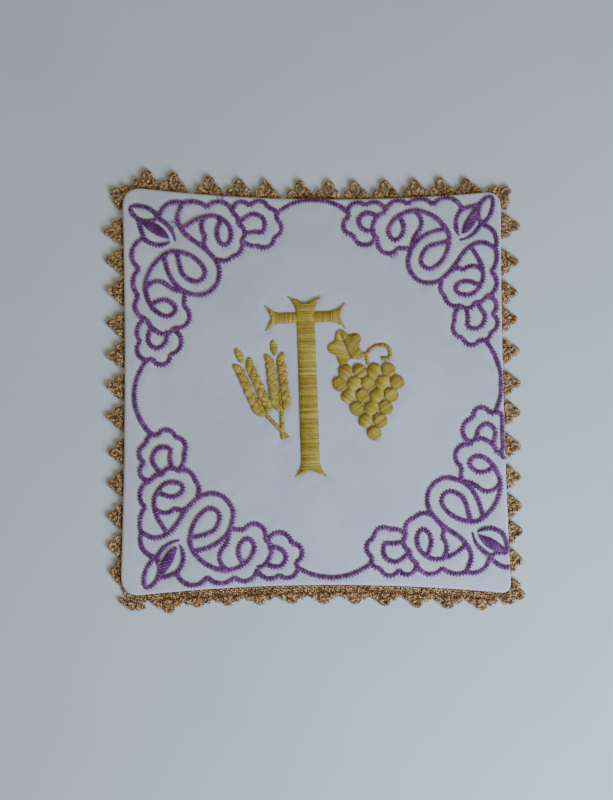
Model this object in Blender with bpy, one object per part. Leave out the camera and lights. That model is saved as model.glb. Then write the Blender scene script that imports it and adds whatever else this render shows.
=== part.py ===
"""Chalice pall: a stiff, padded square of white cloth, embroidered, with a gold lace edging.

It lies face up on a surface. Positions are in metres, +Z is up, +Y is the top of the
design, and the origin is on the surface under the middle of the pall.
Run it with: blender --background --python part.py
"""

import math
from collections import namedtuple

import bmesh
import bpy
import numpy as np
from mathutils import Matrix, Vector
from mathutils.geometry import delaunay_2d_cdt

# Every size below is in millimetres, and every angle in degrees.
MM = 0.001

# The cloth square. Its corners run counter-clockwise, each with its rounding, and with how far
# the side that follows it is drawn in at its middle.
Corner = namedtuple("Corner", "x y radius bow")
CORNERS = (
    Corner(x=-76.2, y=-82.1, radius=9.0, bow=4.1),
    Corner(x=77.7, y=-80.6, radius=4.5, bow=1.1),
    Corner(x=75.5, y=80.3, radius=7.0, bow=4.4),
    Corner(x=-77.4, y=82.3, radius=9.0, bow=1.4),
)
SIDE_STEPS = 12
CORNER_STEPS = 5

# The padded square in section: how far in from the rim, and how high there.
Ring = namedtuple("Ring", "inset height")
UNDERSIDE = (
    Ring(inset=10.4, height=0.0),
    Ring(inset=9.2, height=1.65),
    Ring(inset=0.7, height=1.8),
)
FACE = (
    Ring(inset=0.0, height=2.3),
    Ring(inset=0.4, height=2.9),
    Ring(inset=1.3, height=3.3),
    Ring(inset=4.0, height=3.5),
    Ring(inset=24.0, height=3.8),
    Ring(inset=48.0, height=3.95),
)
CROWN = 4.0

# The lace on each side: how far its heading shows beyond the cloth, and its points in the order
# that the edge runs, each with where its middle is along the side and how far it reaches out
# from the heading.
LaceSide = namedtuple("LaceSide", "shows points")
LACE_SIDES = {
    "bottom": LaceSide(
        shows=3.0,
        points=(
            (-57.9, 5.5), (-46.0, 4.3), (-33.8, 4.2), (-21.2, 4.5), (-8.6, 4.6), (3.8, 4.9),
            (16.1, 4.8), (28.2, 5.2), (40.8, 5.5), (53.4, 5.4), (66.4, 4.9),
        ),
    ),
    "right": LaceSide(
        shows=-0.3,
        points=(
            (-67.8, 6.0), (-56.6, 6.4), (-46.6, 6.8), (-35.0, 6.6), (-22.5, 7.2), (-9.3, 7.6),
            (2.4, 7.7), (15.1, 7.5), (27.8, 7.0), (38.8, 7.2), (51.2, 7.7), (66.0, 8.4),
        ),
    ),
    "top": LaceSide(
        shows=-0.9,
        points=(
            (62.6, 7.6), (52.3, 8.8), (41.2, 8.9), (29.0, 9.0), (17.3, 8.8), (5.8, 9.0),
            (-5.5, 8.9), (-18.8, 8.6), (-30.4, 8.8), (-42.0, 8.9), (-57.4, 9.5), (-70.0, 9.3),
        ),
    ),
    "left": LaceSide(
        shows=0.0,
        points=(
            (64.1, 8.2), (51.6, 7.5), (39.3, 7.2), (26.0, 7.2), (14.5, 7.5), (0.9, 7.6),
            (-11.4, 7.6), (-24.7, 6.4), (-37.2, 6.3), (-50.1, 6.4), (-61.9, 6.0), (-72.0, 4.8),
        ),
    ),
}
# One more point stands at each corner, nearest to here, and reaches this far.
LaceCorner = namedtuple("LaceCorner", "x y reach")
LACE_CORNERS = (
    LaceCorner(x=-73.5, y=-92.0, reach=4.5),
    LaceCorner(x=90.0, y=-84.0, reach=7.0),
    LaceCorner(x=84.0, y=86.0, reach=7.5),
    LaceCorner(x=-88.0, y=79.0, reach=7.5),
)
HEADING_WIDTH = 5.0
HEADING_RADIUS = 7.0
HEADING_STEP = 0.25
LACE_THICKNESS = 1.3
# A lace point has a side lobe on each hand and a middle lobe, drawn here at full reach.
Lobe = namedtuple("Lobe", "along out half_width half_length")
SIDE_LOBE = Lobe(along=3.0, out=1.5, half_width=1.75, half_length=2.0)
MIDDLE_LOBE = Lobe(along=0.0, out=4.2, half_width=1.75, half_length=2.5)
FULL_REACH = MIDDLE_LOBE.out + MIDDLE_LOBE.half_length
# A point stands square to the heading, taken over this far to either side.
POINT_SPAN = 4.0

# The stitching stands on the cloth, a hair above it: a line of purple satin stitch.
STITCH_GAP = 0.3
LINE_WIDTH = 1.9
LINE_HEIGHT = 0.6
ARC_STEP = 32.0
CURVE_STEPS = 2
JOINT_SIDES = 6
WELD = 0.02
LEAST_BEND = 9.0
# No line of stitching is sewn nearer to the rim than this. A line that would cross the rim by
# less than its overrun is moved in, and one that would cross it by more is cut off there. A scrap
# that is cut off, smaller than this area in square millimetres, is left out.
RIM_MARGIN = 0.4
RIM_OVERRUN = 0.8
LEAST_AREA = 8.0

# Each corner has the same spray. It starts from the tip of a leaf by the corner, and its first
# side runs the way of its turn. The padding draws it in or out a little, so that it is a little
# more or less wide along its first side, and tall along its second, than drawn. The line that
# leads from it to the next spray swells out by its swell.
Spray = namedtuple("Spray", "name tip_x tip_y turn wide tall swell")
SPRAYS = (
    Spray("spray_top_left", tip_x=-75.0, tip_y=73.9, turn=-87.3, wide=1.011, tall=1.002, swell=5.9),
    Spray("spray_bottom_left", tip_x=-66.7, tip_y=-79.7, turn=3.1, wide=0.98, tall=1.02, swell=4.6),
    Spray("spray_bottom_right", tip_x=82.1, tip_y=-70.8, turn=93.8, wide=1.0, tall=0.984, swell=4.0),
    Spray("spray_top_right", tip_x=72.3, tip_y=79.0, turn=181.9, wide=0.945, tall=0.994, swell=5.3),
)
# In a spray, u runs along the first side and v along the second. A row of petals starts at
# a point, and each petal is an arc to u, v that swells to the left of its way by its bulge.
Petal = namedtuple("Petal", "u v bulge")
PetalRow = namedtuple("PetalRow", "start petals")
PETAL_ROWS = (
    # The tip leaf, the bud's outer line and its hooked line.
    PetalRow((0.5, 1.0), (Petal(5.4, 12.7, 2.0),)),
    PetalRow((0.5, 1.0), (Petal(5.4, 12.7, -3.6),)),
    PetalRow((6.3, 4.6), (Petal(13.6, 6.4, -0.2), Petal(15.4, 16.9, -2.0))),
    PetalRow((5.5, 11.3), (Petal(15.3, 18.8, 1.9),)),
    # Along the first side: three petals, then round the last flower.
    PetalRow(
        (13.6, 6.3),
        (
            Petal(25.7, 4.1, -4.0),
            Petal(36.6, 3.5, -2.5),
            Petal(45.8, 6.0, -3.0),
            Petal(54.7, 3.4, -2.5),
            Petal(62.2, 5.8, -2.6),
            Petal(61.6, 8.0, 0.1),
            Petal(60.3, 15.1, -3.4),
            Petal(50.3, 16.0, -4.2),
        ),
    ),
    # Along the second side: three petals, then round the last flower.
    PetalRow(
        (4.9, 12.9),
        (
            Petal(0.1, 22.4, 2.6),
            Petal(2.2, 32.1, 1.4),
            Petal(4.9, 42.2, 3.4),
            Petal(2.6, 49.3, 3.2),
            Petal(3.6, 56.6, 2.6),
            Petal(6.0, 60.0, 0.6),
            Petal(8.6, 59.8, -0.2),
            Petal(15.6, 58.5, 2.5),
            Petal(18.7, 51.8, 2.4),
            Petal(16.0, 45.4, 1.0),
        ),
    ),
    # The first side's inner flower.
    PetalRow((36.2, 21.7), (Petal(41.4, 21.2, 0.2), Petal(49.8, 17.4, 4.2), Petal(50.2, 7.8, 2.0))),
    PetalRow((35.4, 20.6), (Petal(33.4, 15.6, 0.4), Petal(33.8, 6.4, -2.6))),
    # The second side's inner flower.
    PetalRow(
        (4.9, 42.2),
        (
            Petal(9.7, 44.3, 1.0),
            Petal(16.0, 45.4, 2.0),
            Petal(22.6, 41.4, 2.0),
            Petal(23.4, 35.2, 1.2),
        ),
    ),
    PetalRow((6.2, 31.2), (Petal(14.2, 31.2, -1.7), Petal(19.0, 31.0, -0.9))),
)
# The scrolls are smooth lines through these points, as (u, v).
SCROLLS = (
    # The great loop, and the small loop inside it.
    (
        (0.1, 22.4), (6.2, 20.0), (12.6, 22.9), (19.3, 31.0), (26.0, 35.7), (33.2, 34.9),
        (37.4, 28.6), (34.9, 20.5), (28.5, 15.9), (20.6, 14.0),
    ),
    (
        (20.6, 14.0), (19.4, 18.4), (22.0, 25.8), (27.8, 30.4), (32.0, 27.6), (29.2, 21.6),
        (20.2, 19.3),
    ),
    # The ribbons that curl into the inner flowers.
    (
        (20.6, 14.0), (25.6, 8.9), (33.5, 6.1), (41.6, 8.8), (45.3, 14.4), (42.6, 18.2),
        (39.0, 15.2), (38.9, 11.2), (40.4, 8.6),
    ),
    (
        (10.6, 21.6), (6.6, 28.6), (6.0, 35.4), (10.2, 40.7), (16.2, 40.8), (17.8, 37.8),
        (13.4, 35.5), (7.0, 37.6),
    ),
    # The curls in the last flowers.
    ((50.9, 14.4), (55.6, 13.4), (57.8, 9.8), (54.8, 6.4), (50.2, 7.3), (46.6, 8.6)),
    ((8.6, 45.2), (5.7, 50.3), (8.4, 54.8), (13.4, 54.2), (13.0, 51.2), (13.6, 46.6)),
)
# The filled bud, between two points, with its bulge to the left and to the right.
BUD_ENDS = ((7.0, 5.4), (14.3, 16.6))
BUD_BULGES = (2.2, -0.9)
# The line between two sprays leaves the first side here, and ends short of the next here.
LINK_START = (62.2, 5.8)
LINK_END = (4.8, 62.3)

# The gold motif stands on the middle of the cloth, turned a little.
EMBLEM_MIDDLE = (-2.3, 0.9)
EMBLEM_TURN = 2.0
GOLD_HEIGHT = 0.9
CROSS_HALF_HEIGHT = 36.2
CROSS_HALF_SPAN = 16.4
ARM_LEVEL = 27.8
SHAFT_WIDTH = 7.4
ARM_WIDTH = 4.4
SHAFT_FLARE = 13.8
ARM_FLARE = 11.7
FLARE_LENGTH = 8.0
FISHTAIL_NOTCH = 3.0
# Ears of wheat: the stalk's foot, the ear's neck and the ear's tip.
Ear = namedtuple("Ear", "foot neck tip")
EARS = (
    Ear(foot=(-8.6, -20.0), neck=(-17.4, -10.0), tip=(-28.2, 16.4)),
    Ear(foot=(-10.6, -20.6), neck=(-10.8, -8.0), tip=(-13.4, 19.4)),
)
GRAIN_PAIRS = 6
GRAIN_LENGTH = 6.8
GRAIN_WIDTH = 3.4
GRAIN_LEAN = 27.0
GRAIN_OFFSET = 2.2
EAR_ROOT = 6.0
STALK_WIDTH = 1.7
# A bunch of grapes, with the number of grapes in each row from the top, its leaf and tendril.
GRAPE_ROWS = (4, 5, 4, 3, 2, 1)
GRAPE_SIDES = 9
GRAPE_WIDTH = 6.6
GRAPE_PITCH = 5.7
GRAPE_ROW_PITCH = 5.0
GRAPE_HEIGHT = 1.5
GRAPES_TOP = (23.6, 5.6)
GRAPES_LEAN = 0.4
LEAF_MIDDLE = (15.6, 15.2)
LEAF_RADIUS = 7.6
LEAF_LOBES = 5
LEAF_DEPTH = 0.3
LEAF_TURN = 110.0
LEAF_STEPS = 30
STEM = ((19.0, 12.6), (23.2, 11.8), (24.2, 8.0))
TENDRIL = ((23.2, 11.8), (27.6, 15.4), (32.2, 14.8), (33.0, 10.6), (29.6, 10.2))

Finish = namedtuple("Finish", "colour roughness metallic")
FINISHES = {
    "white_cloth": Finish(colour=(0.80, 0.81, 0.84), roughness=0.75, metallic=0.0),
    "purple_thread": Finish(colour=(0.16, 0.06, 0.24), roughness=0.45, metallic=0.0),
    "gold_thread": Finish(colour=(0.56, 0.42, 0.10), roughness=0.40, metallic=0.0),
    "gold_lace": Finish(colour=(0.36, 0.21, 0.09), roughness=0.40, metallic=0.6),
}


def clear_scene():
    """Removes whatever the file opened with."""
    for obj in list(bpy.data.objects):
        bpy.data.objects.remove(obj)


def new_collection(name):
    collection = bpy.data.collections.new(name)
    bpy.context.scene.collection.children.link(collection)
    return collection


def material(name):
    """A Principled BSDF with the colour, roughness and metallic value of one finish."""
    finish = FINISHES[name]
    made = bpy.data.materials.get(name) or bpy.data.materials.new(name)
    made.use_nodes = True
    shader = made.node_tree.nodes["Principled BSDF"]
    shader.inputs["Base Color"].default_value = (*finish.colour, 1.0)
    shader.inputs["Roughness"].default_value = finish.roughness
    shader.inputs["Metallic"].default_value = finish.metallic
    return made


def add_part(collection, name, mesh, finish):
    """Puts a finished mesh into the part's collection under its own name."""
    obj = bpy.data.objects.new(name, mesh)
    mesh.name = name
    mesh.materials.clear()
    mesh.materials.append(material(finish))
    collection.objects.link(obj)
    return obj


def turned(point, degrees):
    return Matrix.Rotation(math.radians(degrees), 2) @ Vector(point)


def left_of(way):
    return Vector((-way.y, way.x)).normalized()


def arc(start, end, bulge):
    """Points of the arc from start to end that swells to the left of its way by its bulge."""
    start, end = Vector(start), Vector(end)
    chord = end - start
    half_turn = 2 * math.atan(2 * bulge / chord.length)
    radius = chord.length / (2 * math.sin(half_turn))
    middle = (start + end) / 2 - left_of(chord) * radius * math.cos(half_turn)
    steps = max(2, round(math.degrees(abs(2 * half_turn)) / ARC_STEP))
    turns = np.linspace(-half_turn, half_turn, steps + 1)
    along, left = chord.normalized(), left_of(chord)
    return [middle + (along * math.sin(t) + left * math.cos(t)) * radius for t in turns]


def smooth(points):
    """Points of a smooth line that passes through each given point."""
    knots = [Vector(p) for p in points]
    padded = [2 * knots[0] - knots[1], *knots, 2 * knots[-1] - knots[-2]]
    line = []
    for before, start, end, after in zip(padded, padded[1:], padded[2:], padded[3:]):
        for step in range(CURVE_STEPS):
            t = step / CURVE_STEPS
            line.append(
                start
                + (end - before) * t / 2
                + (2 * before - 5 * start + 4 * end - after) * t**2 / 2
                + (3 * start - before - 3 * end + after) * t**3 / 2
            )
    return [*line, knots[-1]]


def outline(shows=None, least_radius=0.0):
    """The cloth's outline, counter-clockwise, with each side moved out by what shows there."""
    shows = shows or dict.fromkeys(LACE_SIDES, 0.0)
    side_x = (-shows["left"], shows["right"], shows["right"], -shows["left"])
    side_y = (-shows["bottom"], -shows["bottom"], shows["top"], shows["top"])
    corners = [Vector((c.x + x, c.y + y)) for c, x, y in zip(CORNERS, side_x, side_y)]
    radii = [max(corner.radius, least_radius) for corner in CORNERS]

    def on_side(index, distance):
        """A point along the side that follows a corner, drawn in towards the middle."""
        side = corners[(index + 1) % 4] - corners[index]
        t = distance / side.length
        return corners[index] + side * t + left_of(side) * CORNERS[index].bow * 4 * t * (1 - t)

    points = []
    for index, (corner, radius) in enumerate(zip(corners, radii)):
        length = (corners[(index + 1) % 4] - corner).length
        length_before = (corner - corners[index - 1]).length
        arrives = on_side(index - 1, length_before - radius)
        leaves = on_side(index, radius)
        for t in np.linspace(0, 1, CORNER_STEPS, endpoint=False):
            points.append(arrives * (1 - t) ** 2 + corner * 2 * t * (1 - t) + leaves * t**2)
        last = length - radii[(index + 1) % 4]
        points += [on_side(index, d) for d in np.linspace(radius, last, SIDE_STEPS, endpoint=False)]
    return points


RIM = outline()
RIM_TURNS = np.array([math.atan2(p.y, p.x) for p in RIM])
RIM_REACHES = np.array([p.length for p in RIM])


def face_height(point):
    """The height of the cloth's face at a point."""
    turn = math.atan2(point.y, point.x)
    reach = np.interp(turn, RIM_TURNS, RIM_REACHES, period=2 * math.pi)
    insets = [*(ring.inset for ring in FACE), reach]
    heights = [*(ring.height for ring in FACE), CROWN]
    return float(np.interp(reach - point.length, insets, heights))


def drawn_in(inset):
    """The cloth's rim, drawn in towards the middle by an inset."""
    return [p * (1 - inset / p.length) for p in RIM]


def build_cover(collection):
    """The padded cloth square, lofted through its rings from the underside to the crown."""
    mesh_data = bmesh.new()
    rings = [
        [mesh_data.verts.new((*(p * MM), ring.height * MM)) for p in drawn_in(ring.inset)]
        for ring in (*UNDERSIDE, *FACE)
    ]
    mesh_data.faces.new(reversed(rings[0]))
    for lower, upper in zip(rings, rings[1:]):
        for i in range(len(RIM)):
            mesh_data.faces.new((lower[i - 1], lower[i], upper[i], upper[i - 1]))
    crown = mesh_data.verts.new((0.0, 0.0, CROWN * MM))
    for i in range(len(RIM)):
        mesh_data.faces.new((rings[-1][i - 1], rings[-1][i], crown))
    mesh = bpy.data.meshes.new("cover")
    mesh_data.to_mesh(mesh)
    mesh_data.free()
    mesh.shade_smooth()
    return add_part(collection, "cover", mesh, "white_cloth")


def lobe(shape, hand, first, last, steps):
    """Points round a lobe of a lace point, as (along, out), between two angles."""
    turns = np.radians(np.linspace(first, last, steps + 1))
    return [
        (
            hand * shape.along + shape.half_width * math.cos(turn),
            shape.out + shape.half_length * math.sin(turn),
        )
        for turn in turns
    ]


def lace_middles(heading):
    """Where each lace point stands on the heading, as its number there and its reach."""
    across, up = CORNERS[1].x, CORNERS[2].y
    targets = [((corner.x, corner.y), corner.reach) for corner in LACE_CORNERS]
    for name, side in LACE_SIDES.items():
        for middle, reach in side.points:
            places = {
                "bottom": (middle, -up),
                "right": (across, middle),
                "top": (middle, up),
                "left": (-across, middle),
            }
            targets.append((places[name], reach))
    return sorted(
        (min(range(len(heading)), key=lambda i: (heading[i] - Vector(target)).length), reach)
        for target, reach in targets
    )


def evenly(points, step):
    """A closed line through the points, cut again into nearly equal steps."""
    closed = [*points, points[0]]
    along = np.cumsum([0.0, *((b - a).length for a, b in zip(closed, closed[1:]))])
    where = np.linspace(0, along[-1], round(along[-1] / step), endpoint=False)
    x = np.interp(where, along, [p.x for p in closed])
    y = np.interp(where, along, [p.y for p in closed])
    return [Vector(p) for p in zip(x, y)]


def lace_edge():
    """The lace's outer edge: its heading, with a three-lobed point at each middle."""
    shows = {name: side.shows for name, side in LACE_SIDES.items()}
    heading = evenly(outline(shows, HEADING_RADIUS), HEADING_STEP)
    shape = [
        *lobe(SIDE_LOBE, 1, -25, 115, 3),
        *lobe(MIDDLE_LOBE, 0, -25, 205, 5),
        *lobe(SIDE_LOBE, -1, 65, 205, 3),
    ]
    span = round(POINT_SPAN / HEADING_STEP)
    edge = []
    for number, reach in lace_middles(heading):
        along = (heading[(number + span) % len(heading)] - heading[number - span]).normalized()
        out = -left_of(along) * reach / FULL_REACH
        edge += [heading[number] - along * a + out * b for a, b in shape]
    return edge


def build_lace(collection):
    """The lace edging: one flat length round the pall, its heading under the cloth's rim."""
    inner = {name: side.shows - HEADING_WIDTH for name, side in LACE_SIDES.items()}
    curve = bpy.data.curves.new("lace", "CURVE")
    curve.dimensions = "2D"
    curve.fill_mode = "BOTH"
    curve.extrude = LACE_THICKNESS * MM / 2
    for points in (lace_edge(), outline(inner, HEADING_RADIUS)):
        spline = curve.splines.new("POLY")
        spline.points.add(len(points) - 1)
        spline.use_cyclic_u = True
        for target, point in zip(spline.points, points):
            target.co = (point.x * MM, point.y * MM, 0.0, 1.0)
    mesh = mesh_of_curve(curve)
    mesh.transform(Matrix.Translation((0.0, 0.0, LACE_THICKNESS * MM / 2)))
    return add_part(collection, "lace", mesh, "gold_lace")


def mesh_of_curve(curve):
    """The closed mesh of a curve, its caps welded to its sides. The curve's object goes."""
    holder = bpy.data.objects.new(curve.name, curve)
    bpy.context.scene.collection.objects.link(holder)
    graph = bpy.context.evaluated_depsgraph_get()
    mesh = bpy.data.meshes.new_from_object(holder.evaluated_get(graph))
    bpy.data.objects.remove(holder)
    mesh_data = bmesh.new()
    mesh_data.from_mesh(mesh)
    bmesh.ops.remove_doubles(mesh_data, verts=mesh_data.verts, dist=1e-6)
    bmesh.ops.recalc_face_normals(mesh_data, faces=mesh_data.faces)
    mesh_data.to_mesh(mesh)
    mesh_data.free()
    return mesh


def ribbon(points, width):
    """A line of stitching as four-sided patches, with a round joint at each end."""
    patches = [disc(points[0], width / 2), disc(points[-1], width / 2)]
    last = len(points) - 1
    across = [
        left_of(points[min(i + 1, last)] - points[max(i - 1, 0)]) * width / 2
        for i in range(len(points))
    ]
    for i in range(last):
        start, end = points[i], points[i + 1]
        patches.append([start - across[i], end - across[i + 1], end + across[i + 1], start + across[i]])
    return patches


def disc(middle, radius, sides=JOINT_SIDES):
    turns = np.linspace(0, 2 * math.pi, sides, endpoint=False)
    return [middle + Vector((math.cos(t), math.sin(t))) * radius for t in turns]


def lens(start, end, bulge_left, bulge_right):
    """A leaf-shaped patch between two points."""
    return [*arc(start, end, bulge_right), *reversed(arc(start, end, bulge_left)[1:-1])]


def inside(middles, patch):
    """Which of the middles, an array of x and y, lie inside a patch."""
    x, y = middles.T
    crossed = np.zeros(len(middles), dtype=int)
    for start, end in zip(patch, [*patch[1:], patch[0]]):
        if start.y != end.y:
            edge_x = start.x + (y - start.y) * (end.x - start.x) / (end.y - start.y)
            crossed += ((start.y > y) != (end.y > y)) & (x < edge_x)
    return crossed % 2 == 1


def union_triangles(patches, within=None):
    """The points and triangles that the patches cover together, kept within a patch if given."""
    faces = []
    points = []
    for patch in [*patches, *([within] if within else [])]:
        faces.append(list(range(len(points), len(points) + len(patch))))
        points += patch
    points, _, triangles, *_ = delaunay_2d_cdt(points, [], faces, 0, WELD)
    middles = np.array([points])[0][np.array(triangles)].mean(axis=1)
    covered = np.any([inside(middles, patch) for patch in patches], axis=0)
    if within:
        covered &= inside(middles, within)
    return points, [triangle for triangle, kept in zip(triangles, covered) if kept]


def flat_sheet(patches, within):
    """The patches as one flat sheet."""
    points, triangles = union_triangles(patches, within)
    sheet = bmesh.new()
    used = sorted({corner for triangle in triangles for corner in triangle})
    vertices = {index: sheet.verts.new((*points[index], 0.0)) for index in used}
    for triangle in triangles:
        sheet.faces.new([vertices[index] for index in triangle])
    sheet.normal_update()
    return sheet


def joined_sheet(patches, within):
    """The flat sheet, with a joint sewn wherever two lines of it only touch at a point."""
    sheet = flat_sheet(patches, within)
    touching = [v.co.xy for v in sheet.verts if sum(e.is_boundary for e in v.link_edges) > 2]
    if touching:
        sheet.free()
        joints = [disc(point, LINE_WIDTH / 4) for point in touching]
        sheet = flat_sheet([*patches, *joints], within)
    bmesh.ops.dissolve_limit(
        sheet, angle_limit=math.radians(LEAST_BEND), verts=sheet.verts, edges=sheet.edges
    )
    bmesh.ops.triangulate(sheet, faces=sheet.faces)
    return sheet


def pieces_of(sheet):
    """The pieces of a sheet that hang together, each as a sheet, from the largest."""
    pieces = []
    waiting = set(sheet.faces)
    while waiting:
        piece = set()
        reached = [waiting.pop()]
        while reached:
            face = reached.pop()
            piece.add(face)
            beside = {other for edge in face.edges for other in edge.link_faces} & waiting
            waiting -= beside
            reached += beside
        pieces.append((sum(face.calc_area() for face in piece), {face.index for face in piece}))
    for area, kept in sorted(pieces, key=lambda piece: -piece[0]):
        if area > LEAST_AREA:
            piece = sheet.copy()
            others = [face for face in piece.faces if face.index not in kept]
            bmesh.ops.delete(piece, geom=others, context="FACES")
            yield piece


def build_stitching(collection, name, patches, finish, height, within=None):
    """Stitching on the cloth, a solid for each piece. height(point) is how far it stands there."""
    sheet = joined_sheet(patches, within)
    sheet.faces.index_update()
    for number, piece in enumerate(pieces_of(sheet), start=1):
        for vertex in piece.verts:
            point = vertex.co.xy
            vertex.co = (*(point * MM), (face_height(point) + STITCH_GAP) * MM)
        raised = bmesh.ops.extrude_face_region(piece, geom=piece.faces[:], use_keep_orig=True)
        for item in raised["geom"]:
            if isinstance(item, bmesh.types.BMVert):
                item.co.z += height(item.co.xy / MM) * MM
        bmesh.ops.recalc_face_normals(piece, faces=piece.faces)
        mesh = bpy.data.meshes.new(name)
        piece.to_mesh(mesh)
        piece.free()
        add_part(collection, name if number == 1 else f"{name}_{number}", mesh, finish)
    sheet.free()


def on_spray(spray, point):
    u, v = point
    return Vector((spray.tip_x, spray.tip_y)) + turned((u * spray.wide, v * spray.tall), spray.turn)


def rim_inset(point):
    """How far in from the rim a point lies, less than nothing beyond it."""
    turn = math.atan2(point.y, point.x)
    return np.interp(turn, RIM_TURNS, RIM_REACHES, period=2 * math.pi) - point.length


def on_face(line):
    """The stretches of a line that lie on the face, moved in where they are too near the rim."""
    least = RIM_MARGIN + LINE_WIDTH / 2
    stretches = [[]]
    for point in line:
        inset = rim_inset(point)
        if inset < -RIM_OVERRUN:
            stretches.append([])
            continue
        moved = max(0.0, least - inset)
        stretches[-1].append(point * (1 - moved / point.length))
    return [stretch for stretch in stretches if len(stretch) > 1]


def build_spray(collection, spray, following):
    """A corner's ribbon of leaves, loops and flowers, with the line that leads to the next."""
    patches = [[on_spray(spray, p) for p in lens(*BUD_ENDS, *BUD_BULGES)]]
    lines = []
    for row in PETAL_ROWS:
        start = row.start
        for petal in row.petals:
            line = arc(start, (petal.u, petal.v), petal.bulge)
            lines.append([on_spray(spray, p) for p in line])
            start = (petal.u, petal.v)
    lines += [[on_spray(spray, p) for p in smooth(scroll)] for scroll in SCROLLS]
    lines.append(arc(on_spray(spray, LINK_START), on_spray(following, LINK_END), -spray.swell))
    for line in lines:
        for stretch in on_face(line):
            patches += ribbon(stretch, LINE_WIDTH)
    within = drawn_in(RIM_MARGIN)
    build_stitching(collection, spray.name, patches, "purple_thread", lambda _: LINE_HEIGHT, within)


def on_emblem(point):
    return Vector(EMBLEM_MIDDLE) + turned(point, EMBLEM_TURN)


def flared_end(half_length, width, flare):
    """The outline of one half of a bar along +X, which flares to a notched end."""
    neck = half_length - FLARE_LENGTH
    waist = width / 2 + (flare - width) / 6
    return [
        (neck, width / 2),
        (half_length - FLARE_LENGTH / 2, waist),
        (half_length, flare / 2),
        (half_length - FISHTAIL_NOTCH, 0.0),
        (half_length, -flare / 2),
        (half_length - FLARE_LENGTH / 2, -waist),
        (neck, -width / 2),
    ]


def build_cross(collection):
    """A plain cross with flared, notched ends, in gold satin stitch."""
    shaft = flared_end(CROSS_HALF_HEIGHT, SHAFT_WIDTH, SHAFT_FLARE)
    arm = flared_end(CROSS_HALF_SPAN, ARM_WIDTH, ARM_FLARE)
    upright = [*((-y, x) for x, y in shaft), *((y, -x) for x, y in shaft)]
    beam = [*((x, ARM_LEVEL + y) for x, y in arm), *((-x, ARM_LEVEL - y) for x, y in arm)]
    patches = [[on_emblem(p) for p in reversed(bar)] for bar in (upright, beam)]
    build_stitching(collection, "cross", patches, "gold_thread", lambda _: GOLD_HEIGHT)


def grain(middle, way):
    """A grain of wheat, lying along a way."""
    reach = way.normalized() * GRAIN_LENGTH / 2
    return lens(middle - reach, middle + reach, GRAIN_WIDTH / 2, -GRAIN_WIDTH / 2)


def build_wheat(collection):
    """Two ears of wheat in gold satin stitch, with a pair of grains at each level."""
    patches = []
    for ear in EARS:
        neck, tip = Vector(ear.neck), Vector(ear.tip)
        way = (tip - neck).normalized()
        reach = (tip - neck).length - GRAIN_LENGTH
        patches += ribbon(smooth([ear.foot, ear.neck, neck + way * EAR_ROOT]), STALK_WIDTH)
        patches += ribbon([neck, neck + way * reach], STALK_WIDTH)
        for level in range(GRAIN_PAIRS):
            middle = neck + way * (reach * (level + 0.5) / GRAIN_PAIRS)
            for hand in (-1, 1):
                lean = turned(way, hand * GRAIN_LEAN)
                patches.append(grain(middle + left_of(way) * hand * GRAIN_OFFSET, lean))
        patches.append(grain(tip - way * GRAIN_LENGTH / 2, way))
    placed = [[on_emblem(p) for p in patch] for patch in patches]
    build_stitching(collection, "wheat", placed, "gold_thread", lambda _: GOLD_HEIGHT)


def grape_middles():
    """The middles of the grapes, row by row, the bunch leaning a little."""
    for row, count in enumerate(GRAPE_ROWS):
        y = GRAPES_TOP[1] - row * GRAPE_ROW_PITCH
        for index in range(count):
            x = GRAPES_TOP[0] + (index - (count - 1) / 2) * GRAPE_PITCH
            yield Vector((x + row * GRAPES_LEAN, y))


def build_grapes(collection):
    """A bunch of grapes with a leaf and a tendril, in gold satin stitch."""
    middles = list(grape_middles())
    patches = []
    for middle in middles:
        rim = disc(middle, GRAPE_WIDTH / 2, GRAPE_SIDES)
        patches += [[middle, start, end] for start, end in zip(rim, [*rim[1:], rim[0]])]
    for line in (STEM, TENDRIL):
        patches += ribbon(smooth(line), STALK_WIDTH)
    leaf = []
    for turn in np.linspace(0, 2 * math.pi, LEAF_STEPS, endpoint=False):
        radius = LEAF_RADIUS * (1 - LEAF_DEPTH * math.sin(turn * LEAF_LOBES / 2) ** 2)
        way = (math.cos(turn), math.sin(turn))
        leaf.append(Vector(LEAF_MIDDLE) + turned(way, LEAF_TURN) * radius)
    patches.append(leaf)
    placed = [[on_emblem(p) for p in patch] for patch in patches]
    crowns = [on_emblem(middle) for middle in middles]

    def height(point):
        near = min((point - crown).length for crown in crowns)
        return GRAPE_HEIGHT if near < STITCH_GAP else GOLD_HEIGHT

    build_stitching(collection, "grapes", placed, "gold_thread", height)


def main():
    clear_scene()
    pall = new_collection("chalice_pall")
    build_cover(pall)
    build_lace(pall)
    for spray, following in zip(SPRAYS, [*SPRAYS[1:], SPRAYS[0]]):
        build_spray(pall, spray, following)
    build_cross(pall)
    build_wheat(pall)
    build_grapes(pall)


main()
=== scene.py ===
"""The looks of a chalice pall: a padded white cloth square with purple and gold satin
stitch and a gold lace edging, lying face up.

Lengths are in millimetres and angles in degrees, apart from the camera and the lights, which
are in metres. A mesh is brought to metres as it is made.
"""

import logging
import math
from dataclasses import dataclass, field
from enum import Enum

import bpy
import numpy as np
import numpy.typing as npt
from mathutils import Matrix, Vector, noise
from mathutils.kdtree import KDTree


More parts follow.
